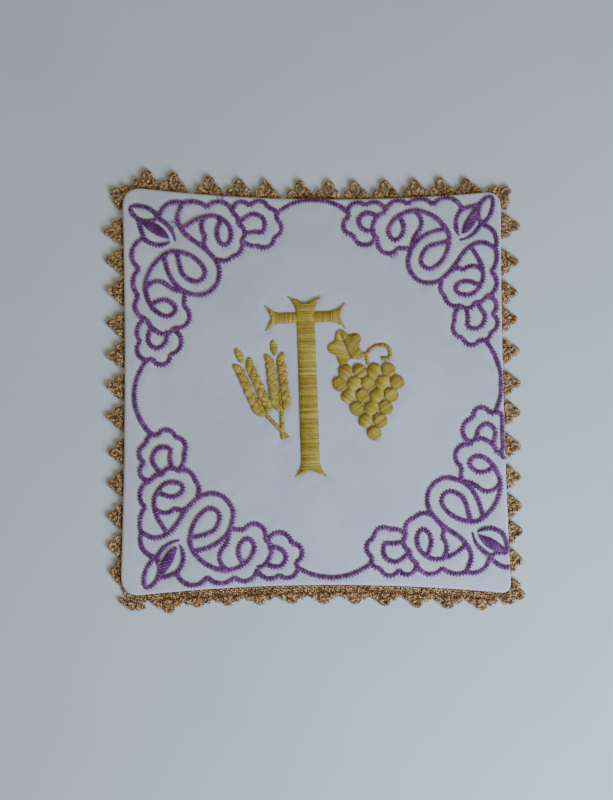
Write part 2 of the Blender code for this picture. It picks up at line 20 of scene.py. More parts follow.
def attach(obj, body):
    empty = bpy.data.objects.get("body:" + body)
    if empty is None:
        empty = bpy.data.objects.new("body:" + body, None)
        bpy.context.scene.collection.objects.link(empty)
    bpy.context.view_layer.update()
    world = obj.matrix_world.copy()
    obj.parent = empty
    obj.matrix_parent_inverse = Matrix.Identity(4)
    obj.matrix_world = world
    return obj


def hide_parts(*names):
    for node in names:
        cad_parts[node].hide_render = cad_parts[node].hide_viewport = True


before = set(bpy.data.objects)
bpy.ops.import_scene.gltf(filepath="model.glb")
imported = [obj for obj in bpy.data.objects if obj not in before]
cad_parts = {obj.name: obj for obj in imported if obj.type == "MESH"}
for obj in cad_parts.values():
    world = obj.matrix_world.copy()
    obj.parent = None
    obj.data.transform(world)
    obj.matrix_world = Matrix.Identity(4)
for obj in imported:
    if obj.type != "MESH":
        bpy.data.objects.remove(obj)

Points = npt.NDArray[np.float64]
Pair = tuple[float, float]
Triple = tuple[float, float, float]
Colour = tuple[float, float, float]

MM = 0.001
BODY = "root"
THREAD_UV = "thread"
LOG = logging.getLogger("chalice_pall")


class Slot(Enum):
    """The material slots of the record."""

    CLOTH = "white_cloth"
    PURPLE = "purple_thread"
    GOLD = "gold_thread"
    LACE = "gold_lace"


def linear(red: int, green: int, blue: int) -> Colour:
    """A screen colour, 0 to 255, as the linear colour that a shader takes.

    Args:
        red: The red value.
        green: The green value.
        blue: The blue value.

    Returns:
        The linear colour.
    """
    shares = [value / 255 for value in (red, green, blue)]
    return tuple(s / 12.92 if s < 0.04045 else ((s + 0.055) / 1.055) ** 2.4 for s in shares)


def turned(points: Points, degrees: float) -> Points:
    """Turns points about the origin.

    Args:
        points: One point, or an array of them, as x and y.
        degrees: The turn, counter-clockwise.

    Returns:
        The points, turned.
    """
    turn = math.radians(degrees)
    spin = np.array([[math.cos(turn), -math.sin(turn)], [math.sin(turn), math.cos(turn)]])
    return np.asarray(points, float) @ spin.T


def unit(vectors: Points) -> Points:
    """Vectors brought to length one."""
    return vectors / np.maximum(np.linalg.norm(vectors, axis=-1, keepdims=True), 1e-9)


def left_of(ways: Points) -> Points:
    """Unit vectors that point to the left of each way in the plane."""
    return unit(np.stack([-ways[..., 1], ways[..., 0]], axis=-1))


def arc(start: Pair, end: Pair, bulge: float, steps: int = 16) -> Points:
    """An arc that swells to the left of its way.

    Args:
        start: Where it starts.
        end: Where it ends.
        bulge: How far its middle stands from its chord.
        steps: The number of its steps.

    Returns:
        Its points.
    """
    start, end = np.array(start, float), np.array(end, float)
    chord = end - start
    length = np.linalg.norm(chord)
    half_turn = 2 * math.atan(2 * bulge / length)
    radius = length / (2 * math.sin(half_turn))
    along, left = unit(chord), left_of(chord)
    middle = (start + end) / 2 - left * radius * math.cos(half_turn)
    turns = np.linspace(-half_turn, half_turn, steps + 1)[:, None]
    return middle + (along * np.sin(turns) + left * np.cos(turns)) * radius


def smooth(knots: tuple[Pair, ...], closed: bool = False, steps: int = 12) -> Points:
    """A smooth line that passes through each knot.

    Args:
        knots: The points that it passes through.
        closed: True where it runs round to its first knot.
        steps: The number of steps between two knots.

    Returns:
        Its points. A closed line's first point isn't repeated.
    """
    line = np.array(knots, float)
    if closed:
        padded = np.vstack([line[-1:], line, line[:2]])
    else:
        padded = np.vstack([2 * line[0] - line[1], line, 2 * line[-1] - line[-2]])
    t = np.linspace(0, 1, steps, endpoint=False)[:, None]
    spans = [
        start
        + (end - before) * t / 2
        + (2 * before - 5 * start + 4 * end - after) * t**2 / 2
        + (3 * start - before - 3 * end + after) * t**3 / 2
        for before, start, end, after in zip(padded, padded[1:], padded[2:], padded[3:])
    ]
    return np.vstack(spans if closed else [*spans, line[-1:]])


def evenly(points: Points, step: float, closed: bool = False) -> Points:
    """A line cut again into nearly equal steps.

    Args:
        points: The line.
        step: The length of a step.
        closed: True where the line runs round to its first point.

    Returns:
        The new points.
    """
    line = np.vstack([points, points[:1]]) if closed else points
    along = np.concatenate([[0.0], np.cumsum(np.linalg.norm(np.diff(line, axis=0), axis=1))])
    count = max(2, round(along[-1] / step))
    where = np.linspace(0, along[-1], count + (not closed), endpoint=not closed)
    return np.stack([np.interp(where, along, line[:, k]) for k in range(line.shape[1])], axis=1)


def ways_of(line: Points, closed: bool = False) -> Points:
    """The way that a line runs at each of its points.

    Args:
        line: The line.
        closed: True where it runs round to its first point.

    Returns:
        The ways, each of length one.
    """
    if closed:
        return unit(np.roll(line, -1, axis=0) - np.roll(line, 1, axis=0))
    return unit(np.gradient(line, axis=0))


@dataclass
class ThreadMesh:
    """Many lengths of thread gathered in one mesh, each a closed tube of oval section."""

    sides: int = 5
    points: list[Points] = field(default_factory=list)
    faces: list[npt.NDArray[np.int64]] = field(default_factory=list)
    uvs: list[Points] = field(default_factory=list)
    count: int = 0
    threads: int = 0

    def add(self, paths: Points, up: Points, wide: Points, high: Points, ring: bool = False) -> None:
        """Adds threads that have the same number of points.

        Args:
            paths: The threads' middles, as thread by point by x, y and z.
            up: The way that the thin side of each section faces, in the same layout.
            wide: Half the width of each section, as thread by point.
            high: Half the height of each section, as thread by point.
            ring: True where each thread runs round to its first point.
        """
        threads, steps, _ = paths.shape
        if ring:
            ways = unit(np.roll(paths, -1, axis=1) - np.roll(paths, 1, axis=1))
        else:
            ways = unit(np.gradient(paths, axis=1))
        across = unit(np.cross(ways, up))
        thin = np.cross(across, ways)
        turns = np.linspace(0, 2 * np.pi, self.sides, endpoint=False)
        section = (
            across[:, :, None] * (np.cos(turns)[:, None] * wide[:, :, None, None])
            + thin[:, :, None] * (np.sin(turns)[:, None] * high[:, :, None, None])
        )
        self.points.append((paths[:, :, None] + section).reshape(-1, 3))
        number = self.count + np.arange(threads * steps * self.sides)
        number = number.reshape(threads, steps, self.sides)
        self.count += number.size
        following = np.roll(number, -1, axis=2)
        if ring:
            near, far = (number, following), (np.roll(number, -1, 1), np.roll(following, -1, 1))
        else:
            near = (number[:, :-1], following[:, :-1])
            far = (number[:, 1:], following[:, 1:])
        quads = np.stack([near[0], near[1], far[1], far[0]], axis=-1)
        self.faces.append(quads.reshape(-1, 4))
        self.uvs.append(self.around_and_along(paths, quads.shape[1]))
        if not ring:
            self.faces += [number[:, 0, ::-1], number[:, -1]]
            self.uvs += [np.zeros((threads * self.sides, 2)), np.zeros((threads * self.sides, 2))]

    def around_and_along(self, paths: Points, spans: int) -> Points:
        """The texture place of each quad's corners: millimetres along, and turns around.

        The turns of each thread start from a whole number of its own.

        Args:
            paths: The threads' middles.
            spans: The number of quads along each thread.

        Returns:
            The places, corner by corner.
        """
        lengths = np.linalg.norm(np.diff(paths, axis=1), axis=2)
        along = np.concatenate([np.zeros((len(paths), 1)), np.cumsum(lengths, axis=1)], axis=1)
        after = np.concatenate([along, along[:, -1:] + lengths[:, :1]], axis=1)
        near, far = after[:, :spans, None], after[:, 1 : spans + 1, None]
        first = self.threads + np.arange(len(paths))[:, None, None]
        self.threads += len(paths)
        around = first + np.arange(self.sides)[None, None] / self.sides
        shape = (len(paths), spans, self.sides)
        u = np.stack([np.broadcast_to(a, shape) for a in (near, near, far, far)], axis=-1)
        beside = around + 1 / self.sides
        v = np.stack([np.broadcast_to(a, shape) for a in (around, beside, beside, around)], axis=-1)
        return np.stack([u, v], axis=-1).reshape(-1, 2)

    def mesh(self, name: str) -> bpy.types.Mesh:
        """The threads as one mesh, in metres.

        Args:
            name: The mesh's name.

        Returns:
            The mesh, shaded smooth.
        """
        made = bpy.data.meshes.new(name)
        points = np.concatenate(self.points) * MM
        made.vertices.add(len(points))
        made.vertices.foreach_set("co", points.ravel().astype(np.float32))
        corners = np.concatenate([face.ravel() for face in self.faces])
        sizes = np.concatenate([np.full(len(face), face.shape[1]) for face in self.faces])
        made.loops.add(len(corners))
        made.loops.foreach_set("vertex_index", corners.astype(np.int32))
        made.polygons.add(len(sizes))
        starts = np.concatenate([[0], np.cumsum(sizes)[:-1]])
        made.polygons.foreach_set("loop_start", starts.astype(np.int32))
        layer = made.uv_layers.new(name=THREAD_UV)
        layer.uv.foreach_set("vector", np.concatenate(self.uvs).ravel().astype(np.float32))
        made.update(calc_edges=True)
        made.validate()
        made.shade_smooth()
        return made


def add_piece(
    mesh: bpy.types.Mesh, material: bpy.types.Material, nodes: list[str]
) -> bpy.types.Object:
    """Puts a mesh in the scene as a piece of the pall.

    Args:
        mesh: The piece's mesh.
        material: Its material.
        nodes: The CAD nodes that it stands for.

    Returns:
        The piece.
    """
    piece = bpy.data.objects.new(mesh.name, mesh)
    bpy.context.scene.collection.objects.link(piece)
    mesh.materials.append(material)
    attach(piece, BODY)
    if nodes:
        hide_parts(*nodes)
    triangles = sum(len(polygon.vertices) - 2 for polygon in mesh.polygons)
    LOG.info("%s: %d triangles, stands for %s", piece.name, triangles, nodes or "no node")
    return piece


@dataclass(frozen=True)
class Shader:
    """A new material's node tree, with short calls to fill it."""

    material: bpy.types.Material

    @classmethod
    def named(cls, name: str) -> "Shader":
        """A new material under a name.

        Args:
            name: The material's name.

        Returns:
            Its shader.
        """
        material = bpy.data.materials.new(name)
        material.use_nodes = True
        return cls(material)

    @property
    def surface(self) -> bpy.types.Node:
        """The material's Principled BSDF."""
        return self.material.node_tree.nodes["Principled BSDF"]

    def node(self, kind: str, **values: object) -> bpy.types.Node:
        """Adds a node.

        Args:
            kind: The node's type, without its ShaderNode prefix.
            values: Its properties, by name.

        Returns:
            The node.
        """
        made = self.material.node_tree.nodes.new("ShaderNode" + kind)
        for name, value in values.items():
            setattr(made, name, value)
        return made

    def link(self, source: bpy.types.NodeSocket, target: bpy.types.NodeSocket) -> None:
        """Joins two sockets."""
        self.material.node_tree.links.new(source, target)

    def noise(self, place: bpy.types.NodeSocket, size: float, detail: float = 2.0) -> bpy.types.NodeSocket:
        """A noise.

        Args:
            place: The coordinates that it is read at.
            size: The size of its spots, in the coordinates' unit.
            detail: How much finer noise is laid over it.

        Returns:
            Its value, about 0 to 1.
        """
        made = self.node("TexNoise")
        made.inputs["Scale"].default_value = 1 / size
        made.inputs["Detail"].default_value = detail
        self.link(place, made.inputs["Vector"])
        return made.outputs["Fac"]

    def math(self, operation: str, *values: object) -> bpy.types.NodeSocket:
        """The result of an operation on one to three values.

        Args:
            operation: The Math node's operation.
            values: Sockets or numbers.

        Returns:
            The result.
        """
        made = self.node("Math", operation=operation)
        for socket, value in zip(made.inputs, values):
            if isinstance(value, bpy.types.NodeSocket):
                self.link(value, socket)
            else:
                socket.default_value = value
        return made.outputs["Value"]

    def mix(self, *parts: tuple[bpy.types.NodeSocket, float]) -> bpy.types.NodeSocket:
        """A sum of values, each with its share.

        Args:
            parts: The values with their shares.

        Returns:
            The sum.
        """
        total = 0.0
        for value, share in parts:
            total = self.math("MULTIPLY_ADD", value, share, total)
        return total

    def thread_place(self) -> tuple[bpy.types.NodeSocket, bpy.types.NodeSocket]:
        """The place on a thread: the millimetres along it, and the turns round it.

        Returns:
            The two places.
        """
        apart = self.node("SeparateXYZ")
        self.link(self.node("UVMap", uv_map=THREAD_UV).outputs["UV"], apart.inputs["Vector"])
        return apart.outputs["X"], apart.outputs["Y"]

    def place(self, scale: Triple = (1.0, 1.0, 1.0)) -> bpy.types.NodeSocket:
        """The place on the object in millimetres, stretched along each axis.

        Args:
            scale: How much finer a texture runs along x, y and z.

        Returns:
            The coordinates.
        """
        made = self.node("Mapping")
        made.inputs["Scale"].default_value = [s / MM for s in scale]
        self.link(self.node("TexCoord").outputs["Object"], made.inputs["Vector"])
        return made.outputs["Vector"]

    def ramp(self, value: bpy.types.NodeSocket, stops: dict[float, Colour]) -> bpy.types.NodeSocket:
        """A colour read from a ramp.

        Args:
            value: Where on the ramp it is read.
            stops: The ramp's colours by their places.

        Returns:
            The colour.
        """
        made = self.node("ValToRGB")
        elements = made.color_ramp.elements
        while len(elements) < len(stops):
            elements.new(0.5)
        for element, (position, colour) in zip(elements, sorted(stops.items())):
            element.position = position
            element.color = (*colour, 1.0)
        self.link(value, made.inputs["Fac"])
        return made.outputs["Color"]

    def bump(self, height: bpy.types.NodeSocket, depth: float) -> None:
        """Gives the surface a relief.

        Args:
            height: The relief, 0 to 1.
            depth: How deep it is.
        """
        made = self.node("Bump")
        made.inputs["Distance"].default_value = depth * MM
        self.link(height, made.inputs["Height"])
        self.link(made.outputs["Normal"], self.surface.inputs["Normal"])

    def set(self, **values: object) -> None:
        """Sets the surface's own sockets, named with underscores for spaces."""
        for name, value in values.items():
            self.surface.inputs[name.replace("_", " ").title().replace("Ior", "IOR")].default_value = value


@dataclass(frozen=True)
class ClothFinish:
    """Fine white cloth in plain weave, faintly uneven in tone."""

    light: Colour = linear(222, 219, 228)
    shade: Colour = linear(207, 205, 216)
    thread: float = 0.34
    slub_length: float = 3.5
    weave_depth: float = 0.06
    cloud_size: float = 28.0
    cloud_share: float = 0.6
    roughness: float = 0.72
    sheen: float = 0.25

    def material(self) -> bpy.types.Material:
        """The cloth's material.

        Returns:
            The material.
        """
        shader = Shader.named(Slot.CLOTH.value)
        stretch = self.thread / self.slub_length
        warp = shader.noise(shader.place((1.0, stretch, 1.0)), self.thread, 1.0)
        weft = shader.noise(shader.place((stretch, 1.0, 1.0)), self.thread, 1.0)
        weave = shader.mix((warp, 0.5), (weft, 0.5))
        clouds = shader.noise(shader.place(), self.cloud_size, 3.0)
        tone = shader.mix((clouds, self.cloud_share), (weave, 1 - self.cloud_share))
        colour = shader.ramp(tone, {0.35: self.shade, 0.65: self.light})
        shader.link(colour, shader.surface.inputs["Base Color"])
        shader.bump(weave, self.weave_depth)
        shader.set(roughness=self.roughness, specular_ior_level=0.3)
        shader.set(sheen_weight=self.sheen, sheen_roughness=0.4)
        return shader.material


@dataclass(frozen=True)
class SatinFinish:
    """Lustrous embroidery thread: two plies, with a little shift of tone along the work."""

    slot: Slot
    deep: Colour
    middle: Colour
    bright: Colour
    roughness: float
    sheen: float
    streak: float = 1.6
    stitch_share: float = 0.3
    streak_share: float = 0.4
    broad_share: float = 0.3
    broad_size: float = 9.0
    ply_pitch: float = 0.55
    ply_depth: float = 0.05

    def material(self) -> bpy.types.Material:
        """The thread's material.

        Returns:
            The material.
        """
        shader = Shader.named(self.slot.value)
        stitch, streaks = stitch_tones(shader, self.streak)
        broad = shader.noise(shader.place(), self.broad_size, 1.0)
        tone = shader.mix(
            (streaks, self.streak_share), (stitch, self.stitch_share), (broad, self.broad_share)
        )
        colour = shader.ramp(tone, {0.3: self.deep, 0.5: self.middle, 0.7: self.bright})
        shader.link(colour, shader.surface.inputs["Base Color"])
        shader.bump(ply_relief(shader, self.ply_pitch), self.ply_depth)
        shader.set(roughness=self.roughness, sheen_weight=self.sheen, sheen_roughness=0.35)
        return shader.material


@dataclass(frozen=True)
class LaceFinish:
    """Metallic thread on a brown core, with glints of light off its foil painted into its colour as random
    near-white gold cells (painted highlight).
    """

    dark: Colour = linear(118, 70, 30)
    brown: Colour = linear(198, 146, 86)
    # The near-white gold stop is a painted highlight: the colour painted on random cells as glints of light
    # off the foil.
    gold: Colour = linear(252, 222, 170)
    painted_glint_size: float = 0.55
    painted_glint_share: float = 0.6
    broad_size: float = 3.0
    dullest: float = 0.62
    polish: float = 0.4
    metallic: float = 0.4
    ply_pitch: float = 0.5
    ply_depth: float = 0.08

    def material(self) -> bpy.types.Material:
        """The lace thread's material.

        Returns:
            The material.
        """
        shader = Shader.named(Slot.LACE.value)
        # Painted highlight: random cells about half a millimetre across are painted toward the near-white
        # gold stop as glints of light off the foil, and made smoother; the dark and brown stops are the
        # thread's own tones.
        cells = shader.node("TexVoronoi")
        cells.inputs["Scale"].default_value = 1 / self.painted_glint_size
        shader.link(shader.place(), cells.inputs["Vector"])
        apart = shader.node("SeparateColor")
        shader.link(cells.outputs["Color"], apart.inputs["Color"])
        painted_glints = apart.outputs["Red"]
        broad = shader.noise(shader.place(), self.broad_size, 2.0)
        tone = shader.mix((broad, 1 - self.painted_glint_share), (painted_glints, self.painted_glint_share))
        # The top stop of this ramp paints the glints (painted highlight).
        colour = shader.ramp(tone, {0.25: self.dark, 0.48: self.brown, 0.75: self.gold})
        shader.link(colour, shader.surface.inputs["Base Color"])
        rough = shader.math("MULTIPLY_ADD", painted_glints, -self.polish, self.dullest)
        shader.link(rough, shader.surface.inputs["Roughness"])
        shader.bump(ply_relief(shader, self.ply_pitch), self.ply_depth)
        shader.set(metallic=self.metallic)
        return shader.material


@dataclass(frozen=True)
class FloorFinish:
    """The pale, plain surface that the pall lies on."""

    tone: Colour = linear(224, 230, 231)
    cloud_size: float = 60.0
    dimming: float = 0.96
    roughness: float = 0.8

    def material(self) -> bpy.types.Material:
        """The floor's material.

        Returns:
            The material.
        """
        shader = Shader.named("pale_floor")
        clouds = shader.noise(shader.place(), self.cloud_size, 2.0)
        dim = tuple(self.dimming * value for value in self.tone)
        colour = shader.ramp(clouds, {0.3: dim, 0.7: self.tone})
        shader.link(colour, shader.surface.inputs["Base Color"])
        shader.set(roughness=self.roughness)
        return shader.material


def stitch_tones(shader: Shader, streak: float) -> tuple[bpy.types.NodeSocket, bpy.types.NodeSocket]:
    """A tone for each whole stitch, and one that shifts along it.

    Args:
        shader: The material that they are for.
        streak: The length over which the second tone shifts.

    Returns:
        The two tones, 0 to 1.
    """
    stitch_apart = 3.7
    along, around = shader.thread_place()
    number = shader.math("FLOOR", around)
    whole = shader.node("TexWhiteNoise", noise_dimensions="1D")
    shader.link(number, whole.inputs["W"])
    place = shader.node("CombineXYZ")
    shader.link(shader.math("DIVIDE", along, streak), place.inputs["X"])
    shader.link(shader.math("MULTIPLY", number, stitch_apart), place.inputs["Y"])
    return whole.outputs["Value"], shader.noise(place.outputs["Vector"], 1.0, 2.0)


def ply_relief(shader: Shader, pitch: float) -> bpy.types.NodeSocket:
    """The slanting ridges of a thread's plies, read from its texture places.

    Args:
        shader: The material that they are for.
        pitch: The length of one turn of the plies.

    Returns:
        The relief, 0 to 1.
    """
    along, around = shader.thread_place()
    turn = shader.math("MULTIPLY", along, 2 * math.pi / pitch)
    slant = shader.math("MULTIPLY_ADD", around, 2 * math.pi, turn)
    return shader.math("MULTIPLY_ADD", shader.math("SINE", slant), 0.5, 0.5)


@dataclass(frozen=True)
class Corner:
    """A corner of the cloth square, and how far the side that follows it is drawn in."""

    x: float
    y: float
    radius: float
    bow: float


@dataclass
class Cover:
    """The padded white cloth square."""

    corners: tuple[Corner, ...] = (
        Corner(x=-76.2, y=-82.1, radius=9.0, bow=4.1),
        Corner(x=77.7, y=-80.6, radius=4.5, bow=1.1),
        Corner(x=75.5, y=80.3, radius=7.0, bow=4.4),
        Corner(x=-77.4, y=82.3, radius=9.0, bow=1.4),
    )
    side_steps: int = 110
    corner_steps: int = 16
    rim_height: float = 2.3
    edge_rise: float = 1.0
    edge_width: float = 1.3
    crown_rise: float = 0.7
    crown_spread: float = 18.0
    near_rim: tuple[float, ...] = (0.1, 0.25, 0.45, 0.75, 1.2, 1.8, 2.6, 3.5, 4.5, 5.5)
    inner_rings: int = 70
    underside: tuple[Pair, ...] = ((10.4, 0.0), (10.2, 0.9), (9.2, 1.6), (5.0, 1.7), (0.7, 1.8), (0.15, 2.0))
    dimple: float = 0.3
    dimple_width: float = 1.5
    pucker: float = 0.26
    pucker_reach: float = 6.0
    pucker_size: float = 4.5
    swell: float = 0.22
    swell_size: float = 34.0
    swell_from: Triple = (7.0, 3.0, 1.0)
    settle_width: float = 3.0

    def outline(self, shows: dict[str, float] | None = None, least_radius: float = 0.0) -> Points:
        """The outline, counter-clockwise, with each side moved out by what shows there.

        Args:
            shows: How far each side is moved out, by its name.
            least_radius: The least rounding of a corner.

        Returns:
            The outline's points.
        """
        shows = shows or dict.fromkeys(("bottom", "right", "top", "left"), 0.0)
        side_x = (-shows["left"], shows["right"], shows["right"], -shows["left"])
        side_y = (-shows["bottom"], -shows["bottom"], shows["top"], shows["top"])
        places = [np.array([c.x + x, c.y + y]) for c, x, y in zip(self.corners, side_x, side_y)]
        radii = [max(corner.radius, least_radius) for corner in self.corners]

        def on_side(index: int, distances: Points) -> Points:
            """Points along the side that follows a corner.

            Args:
                index: The corner's number.
                distances: How far from the corner the points lie.

            Returns:
                The points.
            """
            side = places[(index + 1) % 4] - places[index]
            t = np.atleast_1d(distances)[:, None] / np.linalg.norm(side)
            bow = self.corners[index].bow * 4 * t * (1 - t)
            return places[index] + side * t + left_of(side) * bow

        spans = []
        for index, (place, radius) in enumerate(zip(places, radii)):
            length = np.linalg.norm(places[(index + 1) % 4] - place)
            before = np.linalg.norm(place - places[index - 1])
            arrives = on_side(index - 1, before - radius)
            leaves = on_side(index, radius)
            t = np.linspace(0, 1, self.corner_steps, endpoint=False)[:, None]
            spans.append(arrives * (1 - t) ** 2 + place * 2 * t * (1 - t) + leaves * t**2)
            last = length - radii[(index + 1) % 4]
            spans.append(on_side(index, np.linspace(radius, last, self.side_steps, endpoint=False)))
        return np.vstack(spans)

    def __post_init__(self) -> None:
        """Works out the rim, which the heights are measured from."""
        self.rim = self.outline()
        self.rim_turns = np.arctan2(self.rim[:, 1], self.rim[:, 0])
        self.rim_reaches = np.linalg.norm(self.rim, axis=1)

    def inset(self, points: Points) -> Points:
        """How far in from the rim points lie, towards the middle.

        Args:
            points: The points, as x and y.

        Returns:
            The distances, less than nothing outside the rim.
        """
        turns = np.arctan2(points[..., 1], points[..., 0])
        reaches = np.interp(turns, self.rim_turns, self.rim_reaches, period=2 * np.pi)
        return reaches - np.linalg.norm(points, axis=-1)

    def height(self, points: Points) -> Points:
        """The height of the cloth's smooth face.

        Args:
            points: The points, as x and y.

        Returns:
            The height at each.
        """
        inset = np.maximum(self.inset(points), 0.0)
        edge = 1 - np.minimum(inset / self.edge_width, 1.0)
        rise = self.edge_rise * np.sqrt(1 - edge**2)
        return self.rim_height + rise + self.crown_rise * (1 - np.exp(-inset / self.crown_spread))

    def uneven(self, points: Points, stitched: Points) -> Points:
        """How the face departs from its smooth form: dimples and puckers by the stitching.

        Args:
            points: The points, as x and y.
            stitched: Points that the stitching passes through.

        Returns:
            What is added to the height at each.
        """
        tree = KDTree(len(stitched))
        for number, place in enumerate(stitched):
            tree.insert((*place, 0.0), number)
        tree.balance()
        added = np.zeros(len(points))
        settled = np.clip(self.inset(points) / self.settle_width, 0.0, 1.0)
        for number, (x, y) in enumerate(points):
            near = tree.find((x, y, 0.0))[2]
            here = Vector((x, y, 0.0))
            dimple = -self.dimple * math.exp(-((near / self.dimple_width) ** 2))
            pucker = self.pucker * math.exp(-near / self.pucker_reach)
            pucker *= noise.noise(here / self.pucker_size)
            swell = self.swell * noise.noise(here / self.swell_size + Vector(self.swell_from))
            added[number] = (dimple + pucker + swell) * settled[number]
        return added

    def build(self, stitched: Points) -> bpy.types.Object:
        """Builds the cloth from rings that run round it, from the underside to the crown.

        Args:
            stitched: Points that the stitching passes through.

        Returns:
            The piece.
        """
        ways = unit(self.rim)
        rings = [np.column_stack([self.rim - ways * inset, np.full(len(self.rim), height)])
                 for inset, height in self.underside]
        faces = [self.rim, *(self.rim - ways * inset for inset in self.near_rim)]
        shares = np.linspace(1, 0, self.inner_rings, endpoint=False)[1:]
        faces += [faces[-1] * share for share in shares]
        flat = np.vstack([*faces, [[0.0, 0.0]]])
        heights = self.height(flat) + self.uneven(flat, stitched)
        count = len(self.rim)
        points = np.vstack([*rings, np.column_stack([flat, heights]), [[0.0, 0.0, 0.0]]])
        number = np.arange((len(rings) + len(faces)) * count).reshape(-1, count)
        following = np.roll(number, -1, axis=1)
        quads = np.stack([number[:-1], following[:-1], following[1:], number[1:]], axis=-1)
        top, base = len(points) - 2, len(points) - 1
        polygons = quads.reshape(-1, 4).tolist()
        polygons += [(a, b, top) for a, b in zip(number[-1], following[-1])]
        polygons += [(b, a, base) for a, b in zip(number[0], following[0])]
        mesh = bpy.data.meshes.new("padded_cloth")
        mesh.from_pydata((points * MM).tolist(), [], polygons)
        mesh.validate()
        mesh.shade_smooth()
        piece = add_piece(mesh, ClothFinish().material(), ["cover"])
        return piece


@dataclass(frozen=True)
class Padding:
    """How high a filled shape stands over its middle, how far in from a stitch's end it reaches
    that height, and how far it is raised over other work."""

    dome: float
    shoulder: float
    lift: float = 0.0


@dataclass
class Needle:
    """Lays satin stitches on the cloth, and keeps where it has been."""

    cover: Cover
    seed: int
    thread: float = 0.42
    thread_height: float = 0.15
    pitch: float = 0.58
    fill_pitch: float = 0.5
    loft: float = 0.55
    ragged: float = 0.12
    sunk: float = 0.12
    underlay: tuple[float, ...] = (-0.34, 0.0, 0.34)
    underlay_level: float = 0.35
    underlay_flatness: float = 0.6
    uneven: float = 0.1
    pinch: float = 0.55
    line_places: tuple[float, ...] = (0.0, 0.18, 0.5, 0.82, 1.0)
    line_shoulder: float = 0.62
    fill_shoulders: Pair = (0.55, 0.9)
    least_width: float = 0.3
    least_dome: float = 0.35

    def __post_init__(self) -> None:
        """Threads the needle."""
        self.mesh = ThreadMesh()
        self.chance = np.random.default_rng(self.seed)
        self.been: list[Points] = []

    def lay(self, starts: Points, ends: Points, shares: Points, heights: Points) -> None:
        """Lays stitches that arch over the cloth.

        Args:
            starts: Where each stitch goes in, as x and y.
            ends: Where each comes out.
            shares: The places of each stitch's points along it, 0 to 1, as stitch by point.
            heights: The height of each point above the cloth, in the same layout.
        """
        flat = starts[:, None] + (ends - starts)[:, None] * shares[:, :, None]
        level = self.cover.height(flat) + heights
        paths = np.concatenate([flat, level[:, :, None]], axis=2)
        up = np.broadcast_to([0.0, 0.0, 1.0], paths.shape)
        pinch = np.where((shares <= 0) | (shares >= 1), self.pinch, 1.0)
        plump = self.chance.uniform(1 - self.uneven, 1 + self.uneven, (len(starts), 1))
        wide = self.thread / 2 * pinch * plump
        high = np.full(shares.shape, self.thread_height) * pinch
        self.mesh.add(paths, up, wide, high)
        self.been.append(flat[:, flat.shape[1] // 2])

    def line(
        self,
        path: Points,
        width: float,
        thin_start: float = 0.0,
        thin_end: float = 0.0,
        lift: float = 0.0,
    ) -> None:
        """Sews a zigzag line.

        Args:
            path: The line's middle.
            width: Its full width.
            thin_start: The length over which it tapers at its start.
            thin_end: The length over which it tapers at its end.
            lift: How far it is raised where it crosses other work.
        """
        line = evenly(path, self.pitch)
        left = left_of(ways_of(line))
        side = np.where(np.arange(len(line)) % 2, 1.0, -1.0)
        reach = width / 2 + self.chance.uniform(-self.ragged, self.ragged, len(line))
        along = np.arange(len(line)) * self.pitch
        for taper, distance in ((thin_start, along), (thin_end, along[::-1])):
            if taper:
                grown = self.least_width + (1 - self.least_width) * distance / taper
                reach = reach * np.clip(grown, 0.0, 1.0)
        edge = line + left * (side * reach)[:, None]
        shares = np.tile(self.line_places, (len(edge) - 1, 1))
        shoulder = self.line_shoulder * self.loft
        arch = np.array([-self.sunk, shoulder, self.loft, shoulder, -self.sunk])
        thin = np.minimum(reach[:-1] / (width / 2), 1.0)[:, None]
        self.lay(edge[:-1], edge[1:], shares, arch * thin + lift)
        share = np.minimum(reach / (width / 2), 1.0)
        for offset in self.underlay:
            level = self.underlay_level * self.loft * share + lift
            self.run(line + left * (offset * share)[:, None], level)

    def run(self, path: Points, heights: Points) -> None:
        """Lays one long thread that the stitches cover.

        Args:
            path: The thread's middle.
            heights: Its height above the cloth at each point.
        """
        level = self.cover.height(path) + heights
        paths = np.column_stack([path, level])[None]
        half = np.full((1, len(path)), self.thread / 2)
        up = np.broadcast_to([0.0, 0.0, 1.0], paths.shape)
        self.mesh.add(paths, up, half, half * self.underlay_flatness)

    def fill(self, shape: Points, slant: float, padding: Padding, lift: float = 0.0) -> None:
        """Fills a closed shape with stitches side by side.

        Args:
            shape: The shape's outline.
            slant: The way that the stitches run.
            padding: How high they stand.
            lift: How much further they are raised.
        """
        across = turned(shape, -slant)
        low, high = across[:, 1].min(), across[:, 1].max()
        starts, ends = [], []
        ahead = np.roll(across, -1, axis=0)
        for level in np.arange(low + self.fill_pitch / 2, high, self.fill_pitch):
            crossed = (across[:, 1] > level) != (ahead[:, 1] > level)
            a, b = across[crossed], ahead[crossed]
            cuts = np.sort(a[:, 0] + (level - a[:, 1]) * (b[:, 0] - a[:, 0]) / (b[:, 1] - a[:, 1]))
            for start, end in zip(cuts[::2], cuts[1::2]):
                if end - start > self.thread:
                    spill = self.chance.uniform(-self.ragged, self.ragged, 2)
                    starts.append((start + spill[0], level))
                    ends.append((end + spill[1], level))
        if not starts:
            return
        starts, ends = turned(starts, slant), turned(ends, slant)
        length = np.linalg.norm(ends - starts, axis=1)[:, None]
        turn_in = np.minimum(padding.shoulder, length / 3) / length
        shares = np.hstack([0 * length, turn_in / 3, turn_in, 0 * length + 0.5,
                            1 - turn_in, 1 - turn_in / 3, 0 * length + 1])
        first, second = (share * padding.dome for share in self.fill_shoulders)
        arch = np.array([-self.sunk, first, second, padding.dome, second, first, -self.sunk])
        low_ends = np.clip(length / (2 * padding.shoulder), self.least_dome, 1.0)
        self.lay(starts, ends, shares, arch * low_ends + (padding.lift + lift))

    def stitched(self) -> Points:
        """The points that the stitching has passed through."""
        return np.vstack(self.been)

